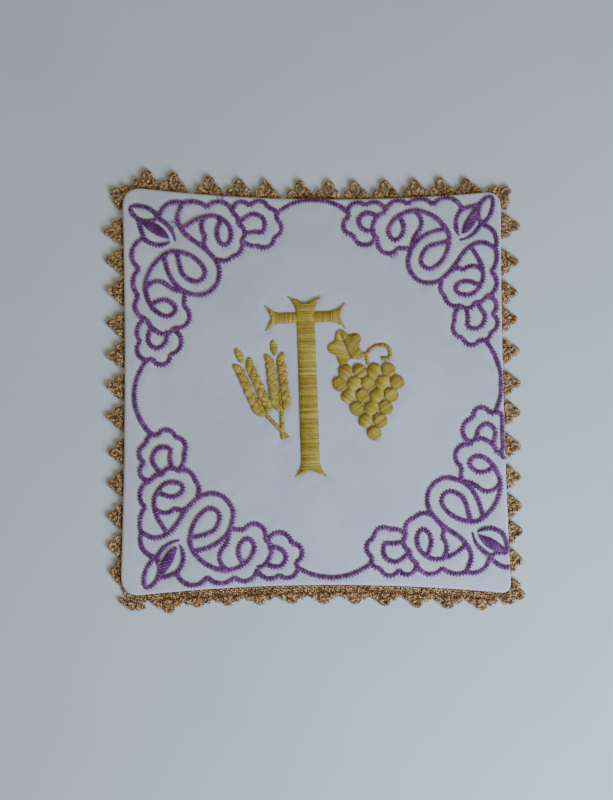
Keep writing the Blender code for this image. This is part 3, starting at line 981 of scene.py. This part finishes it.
    def finish(self, name: str, satin: SatinFinish, nodes: list[str]) -> bpy.types.Object:
        """Ends the work as a piece.

        Args:
            name: The piece's name.
            satin: Its thread.
            nodes: The CAD nodes that it stands for.

        Returns:
            The piece.
        """
        return add_piece(self.mesh.mesh(name), satin.material(), nodes)


@dataclass(frozen=True)
class Petal:
    """An arc to u, v that swells to the left of its way by its bulge."""

    u: float
    v: float
    bulge: float


@dataclass(frozen=True)
class PetalRow:
    """Petals that follow each other from a start, and how its ends taper."""

    start: Pair
    petals: tuple[Petal, ...]
    thin_start: float = 0.0
    thin_end: float = 0.0


@dataclass
class CornerSpray:
    """A corner's run of leaves, loops and flowers, with the line that leads to the next.

    In a spray, u runs along the first side and v along the second, from the tip of its leaf.
    """

    name: str
    tip_x: float
    tip_y: float
    turn: float
    wide: float
    tall: float
    swell: float
    line_width: float = 2.3
    rim_margin: float = 0.9
    rim_overrun: float = 1.5
    fine_step: float = 0.2
    shortest_run: int = 8
    shortest_cut_run: int = 20
    rows: tuple[PetalRow, ...] = (
        PetalRow((0.5, 1.0), (Petal(5.4, 12.7, 2.0),), thin_start=2.0),
        PetalRow((0.5, 1.0), (Petal(5.4, 12.7, -3.6),), thin_start=2.0),
        PetalRow((6.3, 4.6), (Petal(13.6, 6.4, -0.2), Petal(15.4, 16.9, -2.0)), thin_end=3.0),
        PetalRow((5.5, 11.3), (Petal(15.3, 18.8, 1.9),), thin_end=7.0),
        PetalRow(
            (13.6, 6.3),
            (
                Petal(25.7, 4.1, -4.0),
                Petal(36.6, 3.5, -2.5),
                Petal(45.8, 6.0, -3.0),
                Petal(54.7, 3.4, -2.5),
                Petal(62.2, 5.8, -2.6),
                Petal(61.6, 8.0, 0.1),
                Petal(60.3, 15.1, -3.4),
                Petal(50.3, 16.0, -4.2),
            ),
        ),
        PetalRow(
            (4.9, 12.9),
            (
                Petal(0.1, 22.4, 2.6),
                Petal(2.2, 32.1, 1.4),
                Petal(4.9, 42.2, 3.4),
                Petal(2.6, 49.3, 3.2),
                Petal(3.6, 56.6, 2.6),
                Petal(6.0, 60.0, 0.6),
                Petal(8.6, 59.8, -0.2),
                Petal(15.6, 58.5, 2.5),
                Petal(18.7, 51.8, 2.4),
                Petal(16.0, 45.4, 1.0),
            ),
        ),
        PetalRow(
            (36.2, 21.7),
            (Petal(41.4, 21.2, 0.2), Petal(49.8, 17.4, 4.2), Petal(50.6, 9.6, 1.9), Petal(45.9, 6.6, 0.8)),
        ),
        PetalRow((35.4, 20.6), (Petal(33.4, 15.6, 0.4), Petal(33.8, 6.4, -2.6))),
        PetalRow(
            (4.9, 42.2),
            (
                Petal(9.7, 44.3, 1.0),
                Petal(16.0, 45.4, 2.0),
                Petal(22.6, 41.4, 2.0),
                Petal(23.4, 35.2, 1.2),
            ),
        ),
        PetalRow((6.2, 31.2), (Petal(14.2, 31.2, -1.7), Petal(19.0, 31.0, -0.9))),
    )
    scrolls: tuple[tuple[Pair, ...], ...] = (
        (
            (0.1, 22.4), (6.2, 20.0), (12.6, 22.9), (19.3, 31.0), (26.0, 35.7), (33.2, 34.9),
            (37.4, 28.6), (34.9, 20.5), (28.5, 15.9), (20.6, 14.0),
        ),
        (
            (20.6, 14.0), (19.4, 18.4), (22.0, 25.8), (27.8, 30.4), (32.0, 27.6), (29.2, 21.6),
            (20.2, 19.3),
        ),
        (
            (20.6, 14.0), (25.6, 8.9), (33.5, 6.1), (41.6, 8.8), (45.3, 14.4), (42.6, 18.2),
            (39.0, 15.2), (38.9, 11.2), (40.4, 8.6),
        ),
        (
            (10.6, 21.6), (6.6, 28.6), (6.0, 35.4), (10.2, 40.7), (16.2, 40.8), (17.8, 37.8),
            (13.4, 35.5), (7.0, 37.6),
        ),
        ((50.9, 14.4), (55.6, 13.4), (57.8, 9.8), (55.6, 6.8), (52.6, 6.6), (50.2, 7.6)),
        ((8.6, 45.2), (5.7, 50.3), (8.4, 54.8), (13.4, 54.2), (13.0, 51.2), (13.6, 46.6)),
    )
    bud_ends: tuple[Pair, Pair] = ((7.0, 5.4), (14.3, 16.6))
    bud_bulges: Pair = (2.6, -1.4)
    bud_layers: tuple[tuple[float, Padding], ...] = (
        (70.0, Padding(dome=0.35, shoulder=0.8)),
        (10.0, Padding(dome=0.75, shoulder=1.0, lift=0.1)),
    )
    scroll_lift: float = 0.08
    link_start: Pair = (62.2, 5.8)
    link_end: Pair = (5.8, 60.3)

    def placed(self, points: Points) -> Points:
        """Points of the spray's drawing as they lie on the cloth."""
        stretched = points * np.array([self.wide, self.tall])
        return np.array([self.tip_x, self.tip_y]) + turned(stretched, self.turn)

    def inside(self, cover: Cover, line: Points) -> list[Points]:
        """The stretches of a line that lie on the face, moved in where they are too near the rim.

        Args:
            cover: The cloth.
            line: The line.

        Returns:
            The stretches, without scraps.
        """
        fine = evenly(line, self.fine_step)
        inset = cover.inset(fine)
        kept = inset > -self.rim_overrun
        fine = fine - unit(fine) * np.maximum(self.rim_margin - inset, 0.0)[:, None]
        breaks = np.flatnonzero(np.diff(kept.astype(int))) + 1
        runs = [(run, keep[0]) for run, keep in zip(np.split(fine, breaks), np.split(kept, breaks))]
        shortest = self.shortest_run if kept.all() else self.shortest_cut_run
        return [run for run, keep in runs if keep and len(run) > shortest]

    def sew(self, needle: Needle, following: "CornerSpray") -> None:
        """Sews the spray and the line that leads to the next.

        Args:
            needle: The needle.
            following: The next spray.
        """
        ends = self.bud_ends
        back = arc(*ends, self.bud_bulges[0])[::-1]
        bud = self.placed(np.vstack([arc(*ends, self.bud_bulges[1]), back[1:-1]]))
        for slant, padding in self.bud_layers:
            needle.fill(bud, self.turn + slant, padding)
        for row in self.rows:
            start = row.start
            last = len(row.petals) - 1
            for number, petal in enumerate(row.petals):
                line = self.placed(arc(start, (petal.u, petal.v), petal.bulge))
                self.line(needle, line, row.thin_start * (number == 0), row.thin_end * (number == last))
                start = (petal.u, petal.v)
        for scroll in self.scrolls:
            self.line(needle, self.placed(smooth(scroll)), lift=self.scroll_lift)
        link = arc(self.placed(self.link_start), following.placed(following.link_end), -self.swell)
        self.line(needle, link)

    def line(
        self,
        needle: Needle,
        line: Points,
        thin_start: float = 0.0,
        thin_end: float = 0.0,
        lift: float = 0.0,
    ) -> None:
        """Sews what lies on the face of one of the spray's lines.

        Args:
            needle: The needle.
            line: The line.
            thin_start: The length over which it tapers at its start.
            thin_end: The length over which it tapers at its end.
            lift: How far it is raised where it crosses other work.
        """
        for run in self.inside(needle.cover, line):
            needle.line(run, self.line_width, thin_start, thin_end, lift)


@dataclass(frozen=True)
class Ear:
    """An ear of wheat: its stalk's foot, its neck and its tip."""

    foot: Pair
    neck: Pair
    tip: Pair


@dataclass
class GoldEmblem:
    """The gold motif in the middle of the cloth: a cross, wheat and grapes."""

    seed: int = 20
    thread: float = 0.48
    pitch: float = 0.42
    middle: Pair = (-2.3, 0.9)
    turn: float = 2.0
    cross_half_height: float = 36.2
    cross_half_span: float = 16.4
    arm_level: float = 27.8
    shaft_width: float = 7.4
    arm_width: float = 4.4
    shaft_flare: float = 13.8
    arm_flare: float = 11.7
    flare_length: float = 8.0
    flare_curve: float = 2.4
    flare_steps: int = 9
    notch: float = 3.0
    shaft_padding: Padding = Padding(dome=1.0, shoulder=1.7, lift=0.1)
    arm_padding: Padding = Padding(dome=0.85, shoulder=1.3)
    ears: tuple[Ear, ...] = (
        Ear(foot=(-8.6, -20.0), neck=(-17.4, -10.0), tip=(-28.2, 16.4)),
        Ear(foot=(-10.6, -20.6), neck=(-10.8, -8.0), tip=(-13.4, 19.4)),
    )
    grain_pairs: int = 6
    grain_length: float = 6.8
    grain_width: float = 3.2
    grain_lean: float = 27.0
    grain_offset: float = 2.2
    grain_lift: float = 0.12
    grain_most_lift: float = 0.4
    grain_padding: Padding = Padding(dome=0.6, shoulder=1.1)
    ear_root: float = 6.0
    stalk_width: float = 1.7
    grape_rows: tuple[int, ...] = (4, 5, 4, 3, 2, 1)
    grape_radius: float = 2.95
    grape_pitch: float = 5.7
    grape_row_pitch: float = 5.0
    grapes_top: Pair = (23.6, 5.6)
    grapes_lean: float = 0.4
    grape_steps: int = 24
    grape_slant: float = 35.0
    grape_padding: Padding = Padding(dome=1.15, shoulder=2.4)
    leaf_middle: Pair = (15.6, 15.2)
    leaf_radius: float = 7.6
    leaf_lobes: int = 5
    leaf_depth: float = 0.3
    leaf_turn: float = 110.0
    leaf_steps: int = 60
    leaf_slant: float = 60.0
    leaf_padding: Padding = Padding(dome=0.8, shoulder=1.4)
    stem: tuple[Pair, ...] = ((19.0, 12.6), (23.2, 11.8), (24.2, 8.0))
    tendril: tuple[Pair, ...] = ((23.2, 11.8), (27.6, 15.4), (32.2, 14.8), (33.0, 10.6), (29.6, 10.2))

    def placed(self, points: Points) -> Points:
        """Points of the emblem's drawing as they lie on the cloth."""
        return np.array(self.middle) + turned(points, self.turn)

    def flared_half(self, half_length: float, width: float, flare: float) -> Points:
        """The outline of one half of a bar along +x, which flares to a notched end.

        Args:
            half_length: How far it reaches.
            width: Its width at its root.
            flare: Its width at its end.

        Returns:
            The outline's points, from the root's left side round to its right side.
        """
        neck = half_length - self.flare_length
        t = np.linspace(0, 1, self.flare_steps)
        spread = width / 2 + (flare - width) / 2 * t**self.flare_curve
        side = np.column_stack([neck + self.flare_length * t, spread])
        tail = np.array([[half_length - self.notch, 0.0]])
        return np.vstack([[[0.0, width / 2]], side, tail, side[::-1] * [1, -1], [[0.0, -width / 2]]])

    def sew_cross(self, needle: Needle) -> None:
        """Sews the cross, each bar with stitches across it.

        Args:
            needle: The needle.
        """
        shaft = self.flared_half(self.cross_half_height, self.shaft_width, self.shaft_flare)
        arm = self.flared_half(self.cross_half_span, self.arm_width, self.arm_flare)
        upright = np.vstack([turned(shaft, 90), turned(shaft, -90)])
        for hand in (0, 180):
            root = turned(arm, hand) + [0, self.arm_level]
            needle.fill(self.placed(root), self.turn + 90, self.arm_padding)
        needle.fill(self.placed(upright), self.turn, self.shaft_padding)

    def sew_wheat(self, needle: Needle) -> None:
        """Sews two ears of wheat, a pair of grains at each level, over their stalks.

        Args:
            needle: The needle.
        """
        for ear in self.ears:
            neck, tip = np.array(ear.neck), np.array(ear.tip)
            way = unit(tip - neck)
            reach = np.linalg.norm(tip - neck) - self.grain_length
            stalk = smooth((ear.foot, ear.neck, tuple(neck + way * self.ear_root)))
            needle.line(self.placed(stalk), self.stalk_width)
            self.grain(needle, tip - way * self.grain_length / 2, way, 0.0)
            for level in reversed(range(self.grain_pairs)):
                middle = neck + way * (reach * (level + 0.5) / self.grain_pairs)
                for hand in (-1, 1):
                    lean = turned(way, hand * self.grain_lean)
                    place = middle + left_of(way) * hand * self.grain_offset
                    self.grain(needle, place, lean, self.grain_lift * (self.grain_pairs - level))

    def grain(self, needle: Needle, middle: Points, way: Points, lift: float) -> None:
        """Sews a grain of wheat.

        Args:
            needle: The needle.
            middle: The grain's middle.
            way: The way that it points.
            lift: How far it lies over its neighbours.
        """
        ends = (middle - way * self.grain_length / 2, middle + way * self.grain_length / 2)
        bulge = self.grain_width / 2
        shape = np.vstack([arc(*ends, -bulge), arc(*ends, bulge)[-2:0:-1]])
        slant = math.degrees(math.atan2(way[1], way[0])) + 90 + self.turn
        needle.fill(self.placed(shape), slant, self.grain_padding, min(lift, self.grain_most_lift))

    def sew_grapes(self, needle: Needle) -> None:
        """Sews a bunch of grapes, with its leaf, stem and tendril.

        Args:
            needle: The needle.
        """
        for line in (self.stem, self.tendril):
            needle.line(self.placed(smooth(line)), self.stalk_width)
        self.sew_leaf(needle)
        turns = np.linspace(0, 2 * np.pi, self.grape_steps, endpoint=False)
        rim = np.column_stack([np.cos(turns), np.sin(turns)]) * self.grape_radius
        for row, count in enumerate(self.grape_rows):
            y = self.grapes_top[1] - row * self.grape_row_pitch
            for index in range(count):
                x = self.grapes_top[0] + (index - (count - 1) / 2) * self.grape_pitch
                middle = np.array([x + row * self.grapes_lean, y])
                slant = self.grape_slant if (row + index) % 2 else -self.grape_slant
                needle.fill(self.placed(middle + rim), slant, self.grape_padding)

    def sew_leaf(self, needle: Needle) -> None:
        """Sews the vine leaf, its two halves slanting to its middle rib.

        Args:
            needle: The needle.
        """
        turns = np.linspace(0, 2 * np.pi, self.leaf_steps, endpoint=False)
        radii = self.leaf_radius * (1 - self.leaf_depth * np.sin(turns * self.leaf_lobes / 2) ** 2)
        shape = np.column_stack([np.cos(turns), np.sin(turns)]) * radii[:, None]
        half = len(shape) // 2
        halves = (shape[: half + 1], shape[[*range(half, len(shape)), 0]])
        for points, slant in zip(halves, (self.leaf_slant, -self.leaf_slant)):
            leaf = np.array(self.leaf_middle) + turned(points, self.leaf_turn)
            needle.fill(self.placed(leaf), self.leaf_turn + self.turn + slant, self.leaf_padding)

    def build(self, cover: Cover) -> list[Needle]:
        """Sews the cross, the wheat and the grapes, each as a piece.

        Args:
            cover: The cloth.

        Returns:
            The needles that sewed them.
        """
        needles = []
        parts = {"cross": self.sew_cross, "wheat": self.sew_wheat, "grapes": self.sew_grapes}
        for name, sew in parts.items():
            needle = Needle(cover, self.seed, self.thread, pitch=self.pitch, fill_pitch=self.pitch)
            sew(needle)
            needle.finish(f"stitches_{name}", GOLD, [name])
            needles.append(needle)
        return needles


@dataclass(frozen=True)
class LaceSide:
    """The lace on one side: how far its heading shows, how far its points spread, and each
    point's middle and reach."""

    shows: float
    spread: float
    points: tuple[Pair, ...]


@dataclass(frozen=True)
class LaceCorner:
    """One more lace point, at a corner, nearest to here."""

    x: float
    y: float
    reach: float
    spread: float = 0.95


@dataclass(frozen=True)
class Knot:
    """A loop of wound cord in a lace point. Its foot and head are shares of the point's reach."""

    along: float
    foot: float
    head: float
    half_width: float
    cord: float
    corners: int = 8
    shift: float = 0.15
    uneven: float = 0.12
    least_half_length: float = 0.4

    def line(self, reach: float, chance: np.random.Generator) -> Points:
        """The middle of the cord, a little uneven.

        Args:
            reach: How far the lace point reaches.
            chance: What makes it uneven.

        Returns:
            The points of a closed line, as along and out.
        """
        low = self.foot * reach + self.cord / 2
        half_length = max((self.head * reach - self.cord / 2 - low) / 2, self.least_half_length)
        turns = np.linspace(0, 2 * np.pi, self.corners, endpoint=False)
        turns = turns + chance.uniform(-self.shift, self.shift)
        size = np.array([self.half_width, half_length])
        size = size * chance.uniform(1 - self.uneven, 1 + self.uneven, (self.corners, 2))
        shape = np.column_stack([np.cos(turns), np.sin(turns)]) * size
        along = self.along + chance.uniform(-self.shift, self.shift)
        middle = np.array([along, low + half_length])
        return smooth(middle + shape, closed=True, steps=6)


@dataclass
class LaceEdging:
    """The gold lace round the pall: a corded heading and three-lobed points of knotted cord."""

    cover: Cover
    sides: dict[str, LaceSide] = field(default_factory=lambda: {
        "bottom": LaceSide(
            shows=3.0,
            spread=1.15,
            points=(
                (-57.9, 5.5), (-46.0, 4.3), (-33.8, 4.2), (-21.2, 4.5), (-8.6, 4.6), (3.8, 4.9),
                (16.1, 4.8), (28.2, 5.2), (40.8, 5.5), (53.4, 5.4), (66.4, 4.9),
            ),
        ),
        "right": LaceSide(
            shows=-0.3,
            spread=0.9,
            points=(
                (-67.8, 6.0), (-56.6, 6.4), (-46.6, 6.8), (-35.0, 6.6), (-22.5, 7.2), (-9.3, 7.6),
                (2.4, 7.7), (15.1, 7.5), (27.8, 7.0), (38.8, 7.2), (51.2, 7.7), (66.0, 8.4),
            ),
        ),
        "top": LaceSide(
            shows=-0.9,
            spread=1.04,
            points=(
                (62.6, 7.6), (52.3, 8.8), (41.2, 8.9), (29.0, 9.0), (17.3, 8.8), (5.8, 9.0),
                (-5.5, 8.9), (-18.8, 8.6), (-30.4, 8.8), (-42.0, 8.9), (-57.4, 9.5), (-68.4, 9.3),
            ),
        ),
        "left": LaceSide(
            shows=0.0,
            spread=0.9,
            points=(
                (64.1, 8.2), (51.6, 7.5), (39.3, 7.2), (26.0, 7.2), (14.5, 7.5), (0.9, 7.6),
                (-11.4, 7.6), (-24.7, 6.4), (-37.2, 6.3), (-50.1, 6.4), (-61.9, 6.0), (-72.0, 4.8),
            ),
        ),
    })
    corners: tuple[LaceCorner, ...] = (
        LaceCorner(x=-73.5, y=-92.0, reach=3.4),
        LaceCorner(x=90.0, y=-84.0, reach=7.0),
        LaceCorner(x=84.0, y=86.0, reach=7.5),
        LaceCorner(x=-92.0, y=88.0, reach=7.0),
    )
    knots: tuple[Knot, ...] = (
        Knot(along=-4.5, foot=-0.14, head=0.28, half_width=0.75, cord=1.8),
        Knot(along=4.5, foot=-0.14, head=0.28, half_width=0.75, cord=1.8),
        Knot(along=-3.1, foot=-0.02, head=0.6, half_width=0.85, cord=2.3),
        Knot(along=3.1, foot=-0.02, head=0.6, half_width=0.85, cord=2.3),
        Knot(along=0.0, foot=-0.1, head=0.42, half_width=1.45, cord=2.1),
        Knot(along=0.0, foot=0.26, head=1.02, half_width=1.4, cord=2.0),
    )
    heading_radius: float = 7.0
    heading_step: float = 0.25
    heading_cords: tuple[float, ...] = (0.4, 1.4, 2.4, 3.5)
    heading_cord: float = 1.35
    heading_wave: float = 0.38
    heading_wave_length: float = 2.1
    heading_wave_shift: float = 2.0
    heading_cord_step: float = 0.5
    heading_pitch: float = 1.15
    full_reach: float = 8.8
    flatness: float = 0.85
    point_span: float = 4.0
    point_lean: float = 0.12
    thread: float = 0.36
    thread_sides: int = 4
    thread_wide: float = 1.1
    thread_high: float = 0.8
    core_step: float = 0.6
    core_share: float = 0.75
    wrap_pitch: float = 0.5
    wrap_steps: int = 7
    least_turns: int = 6
    looseness: float = 0.22
    slack_step: int = 3
    cord_rise: float = 0.1
    seed: int = 11

    def heading(self) -> Points:
        """The heading's outer edge, in fine even steps."""
        shows = {name: side.shows for name, side in self.sides.items()}
        return evenly(self.cover.outline(shows, self.heading_radius), self.heading_step, closed=True)

    def places(self, heading: Points) -> list[tuple[int, float, float]]:
        """Where each lace point stands.

        Args:
            heading: The heading's edge.

        Returns:
            The number of the heading's point under each, its reach and its spread.
        """
        across, up = self.cover.corners[1].x, self.cover.corners[2].y
        spots = {
            "bottom": lambda middle: (middle, -up),
            "right": lambda middle: (across, middle),
            "top": lambda middle: (middle, up),
            "left": lambda middle: (-across, middle),
        }
        targets = [((corner.x, corner.y), corner.reach, corner.spread) for corner in self.corners]
        for name, side in self.sides.items():
            targets += [
                (spots[name](middle), reach, side.spread * max(1.0, reach / self.full_reach))
                for middle, reach in side.points
            ]
        return sorted(
            (int(np.argmin(np.linalg.norm(heading - np.array(target), axis=1))), reach, spread)
            for target, reach, spread in targets
        )

    def wind(
        self, mesh: ThreadMesh, line: Points, cord: float, pitch: float, chance: np.random.Generator
    ) -> None:
        """Winds metallic thread round a cord that runs in a closed loop.

        Args:
            mesh: The mesh that the thread and the cord's core are added to.
            line: The cord's middle, as x and y.
            cord: Its diameter with the thread on.
            pitch: The distance from one turn of the thread to the next.
            chance: What makes the turns uneven.
        """
        length = np.linalg.norm(line - np.roll(line, -1, axis=0), axis=1).sum()
        turns = max(self.least_turns, round(length / pitch))
        count = turns * self.wrap_steps
        middle = evenly(line, length / count, closed=True)
        left = left_of(ways_of(middle, closed=True))
        count = len(middle)
        angle = 2 * np.pi * turns * np.arange(count) / count
        outward = np.column_stack([left * np.cos(angle)[:, None], self.flatness * np.sin(angle)])
        marks = np.arange(0, count + self.slack_step, self.slack_step)
        slack = chance.uniform(1 - self.looseness, 1 + self.looseness, len(marks))
        radius = (cord - self.thread) / 2 * np.interp(np.arange(count), marks, slack)
        level = self.flatness * cord / 2 * (1 + self.looseness) + chance.uniform(0.0, self.cord_rise)
        path = np.column_stack([middle, np.full(count, level)]) + outward * radius[:, None]
        size = np.full((1, count), self.thread / 2)
        mesh.add(path[None], outward[None], size * self.thread_wide, size * self.thread_high, ring=True)
        core = evenly(line, self.core_step, closed=True)
        inner = np.full((1, len(core)), (cord - self.thread) / 2 * self.core_share)
        rise = np.column_stack([core, np.full(len(core), level)])[None]
        mesh.add(rise, np.broadcast_to([0.0, 0.0, 1.0], rise.shape), inner, inner, ring=True)

    def build_points(self) -> None:
        """Builds the three-lobed points, in two pieces that each go half of the way round."""
        chance = np.random.default_rng(self.seed)
        heading = self.heading()
        span = round(self.point_span / self.heading_step)
        places = self.places(heading)
        half = len(places) // 2
        for part, group in enumerate((places[:half], places[half:]), start=1):
            mesh = ThreadMesh(sides=self.thread_sides)
            for number, reach, spread in group:
                along = unit(heading[(number + span) % len(heading)] - heading[number - span])
                out = -left_of(along)
                lean = chance.uniform(-self.point_lean, self.point_lean)
                for knot in self.knots:
                    local = knot.line(reach, chance)
                    across = local[:, :1] * spread + lean * local[:, 1:]
                    line = heading[number] + along * across + out * local[:, 1:]
                    self.wind(mesh, line, knot.cord, self.wrap_pitch, chance)
            add_piece(mesh.mesh(f"lace_points_{part}"), LaceFinish().material(), ["lace"])

    def build_heading(self) -> None:
        """Builds the cords of the heading, side by side, each a little wavy."""
        chance = np.random.default_rng(self.seed + 1)
        mesh = ThreadMesh(sides=self.thread_sides)
        for number, inner in enumerate(self.heading_cords):
            shows = {name: side.shows - inner for name, side in self.sides.items()}
            edge = self.cover.outline(shows, self.heading_radius)
            line = evenly(edge, self.heading_cord_step, closed=True)
            waves = round(self.heading_cord_step * len(line) / self.heading_wave_length)
            phase = 2 * np.pi * waves * np.arange(len(line)) / len(line)
            wave = self.heading_wave * np.sin(phase + number * self.heading_wave_shift)
            line = line + left_of(ways_of(line, closed=True)) * wave[:, None]
            self.wind(mesh, line, self.heading_cord, self.heading_pitch, chance)
        add_piece(mesh.mesh("lace_heading"), LaceFinish().material(), ["lace"])


@dataclass
class StrayThreads:
    """Small loops of purple thread that stand loose by the embroidery."""

    cover: Cover
    loops: tuple[tuple[Pair, ...], ...] = (
        (
            (-38.2, 75.6), (-38.8, 77.6), (-37.6, 78.6), (-36.6, 77.2), (-37.2, 75.8), (-36.0, 77.6),
            (-35.2, 78.9),
        ),
        ((-57.4, 64.6), (-55.8, 65.0), (-55.3, 66.4), (-56.4, 67.3), (-57.4, 66.6)),
        ((29.8, 54.6), (30.6, 53.0), (32.2, 52.4), (33.4, 53.4), (33.2, 54.8)),
    )
    thread: float = 0.3
    step: float = 0.3
    lift: float = 0.55
    sunk: float = 0.1
    end_lift: float = 0.3

    def build(self, satin: SatinFinish) -> bpy.types.Object:
        """Builds the loops.

        Args:
            satin: Their thread.

        Returns:
            The piece.
        """
        mesh = ThreadMesh()
        for knots in self.loops:
            line = evenly(smooth(knots), self.step)
            share = np.linspace(0, 1, len(line))
            level = self.cover.height(line) - self.sunk + self.lift * np.sin(np.pi * share)
            path = np.column_stack([line, level + self.end_lift * share])[None]
            size = np.full((1, len(line)), self.thread / 2)
            mesh.add(path, np.broadcast_to([0.0, 0.0, 1.0], path.shape), size, size)
        return add_piece(mesh.mesh("stray_loops"), satin.material(), [])


@dataclass(frozen=True)
class Light:
    """A square area light: where it hangs, its side, its power in watts and its colour."""

    name: str
    place: Triple
    side: float
    power: float
    tint: Colour


@dataclass
class Studio:
    """The floor, the soft lights and the camera, in metres."""

    aim: Triple = (-0.0029, -0.0041, 0.0)
    distance: float = 0.45
    lean: float = 4.0
    lens: float = 50.6
    floor_size: float = 6.0
    lights: tuple[Light, ...] = (
        Light("window", place=(0.34, -0.36, 0.34), side=0.3, power=4.7, tint=(0.57, 0.73, 1.0)),
        Light("ceiling", place=(-0.3, 0.4, 1.3), side=1.2, power=2.7, tint=(1.0, 0.92, 0.66)),
    )
    room_tint: Colour = (1.0, 0.93, 0.74)
    room_strength: float = 0.17

    def build(self) -> None:
        """Builds all of it."""
        self.lay_floor()
        for light in self.lights:
            self.hang(light)
        world = bpy.data.worlds.new("studio")
        bpy.context.scene.world = world
        world.use_nodes = True
        background = world.node_tree.nodes["Background"]
        background.inputs["Color"].default_value = (*self.room_tint, 1.0)
        background.inputs["Strength"].default_value = self.room_strength
        self.place_camera()

    def lay_floor(self) -> None:
        """Lays the floor under the pall."""
        half = self.floor_size / 2
        mesh = bpy.data.meshes.new("floor")
        corners = [(-half, -half, 0), (half, -half, 0), (half, half, 0), (-half, half, 0)]
        mesh.from_pydata(corners, [], [(0, 1, 2, 3)])
        floor = bpy.data.objects.new("floor", mesh)
        mesh.materials.append(FloorFinish().material())
        bpy.context.scene.collection.objects.link(floor)

    def hang(self, light: Light) -> None:
        """Hangs a light that faces the pall.

        Args:
            light: The light.
        """
        lamp = bpy.data.lights.new(light.name, "AREA")
        lamp.size = light.side
        lamp.energy = light.power
        lamp.color = light.tint
        holder = bpy.data.objects.new(light.name, lamp)
        holder.location = light.place
        holder.rotation_mode = "QUATERNION"
        holder.rotation_quaternion = (Vector(self.aim) - Vector(light.place)).to_track_quat("-Z", "Y")
        bpy.context.scene.collection.objects.link(holder)

    def place_camera(self) -> None:
        """Places the camera over the pall, leaning back from upright a little."""
        camera = bpy.data.cameras.new("camera")
        camera.lens = self.lens
        holder = bpy.data.objects.new("camera", camera)
        lean = math.radians(self.lean)
        back = Vector((0.0, -math.sin(lean), math.cos(lean)))
        holder.location = Vector(self.aim) + back * self.distance
        holder.rotation_euler = (lean, 0.0, 0.0)
        bpy.context.scene.collection.objects.link(holder)
        bpy.context.scene.camera = holder


SPRAYS = (
    CornerSpray("top_left", tip_x=-75.0, tip_y=73.9, turn=-87.3, wide=1.011, tall=1.002, swell=5.9),
    CornerSpray("bottom_left", tip_x=-66.7, tip_y=-79.7, turn=3.1, wide=0.98, tall=1.02, swell=4.6),
    CornerSpray("bottom_right", tip_x=82.1, tip_y=-70.8, turn=93.8, wide=1.0, tall=0.984, swell=4.0),
    CornerSpray("top_right", tip_x=72.3, tip_y=79.0, turn=181.9, wide=0.945, tall=0.994, swell=5.3),
)
PURPLE = SatinFinish(
    slot=Slot.PURPLE,
    deep=linear(90, 34, 94),
    middle=linear(126, 58, 130),
    bright=linear(176, 106, 174),
    roughness=0.42,
    sheen=0.2,
)
GOLD = SatinFinish(
    slot=Slot.GOLD,
    deep=linear(160, 124, 30),
    middle=linear(198, 168, 54),
    bright=linear(226, 204, 96),
    roughness=0.36,
    sheen=0.15,
    streak=2.2,
)


def main() -> None:
    """Builds the pall piece by piece, then the studio round it."""
    logging.basicConfig(level=logging.INFO, format="%(name)s %(message)s")
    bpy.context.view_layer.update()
    cover = Cover()
    needles = []
    for number, spray in enumerate(SPRAYS):
        needle = Needle(cover, seed=number + 1)
        spray.sew(needle, SPRAYS[(number + 1) % len(SPRAYS)])
        needle.finish(f"stitches_{spray.name}", PURPLE, [f"spray_{spray.name}"])
        needles.append(needle)
    needles += GoldEmblem().build(cover)
    cover.build(np.vstack([needle.stitched() for needle in needles]))
    lace = LaceEdging(cover)
    lace.build_heading()
    lace.build_points()
    StrayThreads(cover).build(PURPLE)
    Studio().build()


if __name__ == "__main__":
    main()
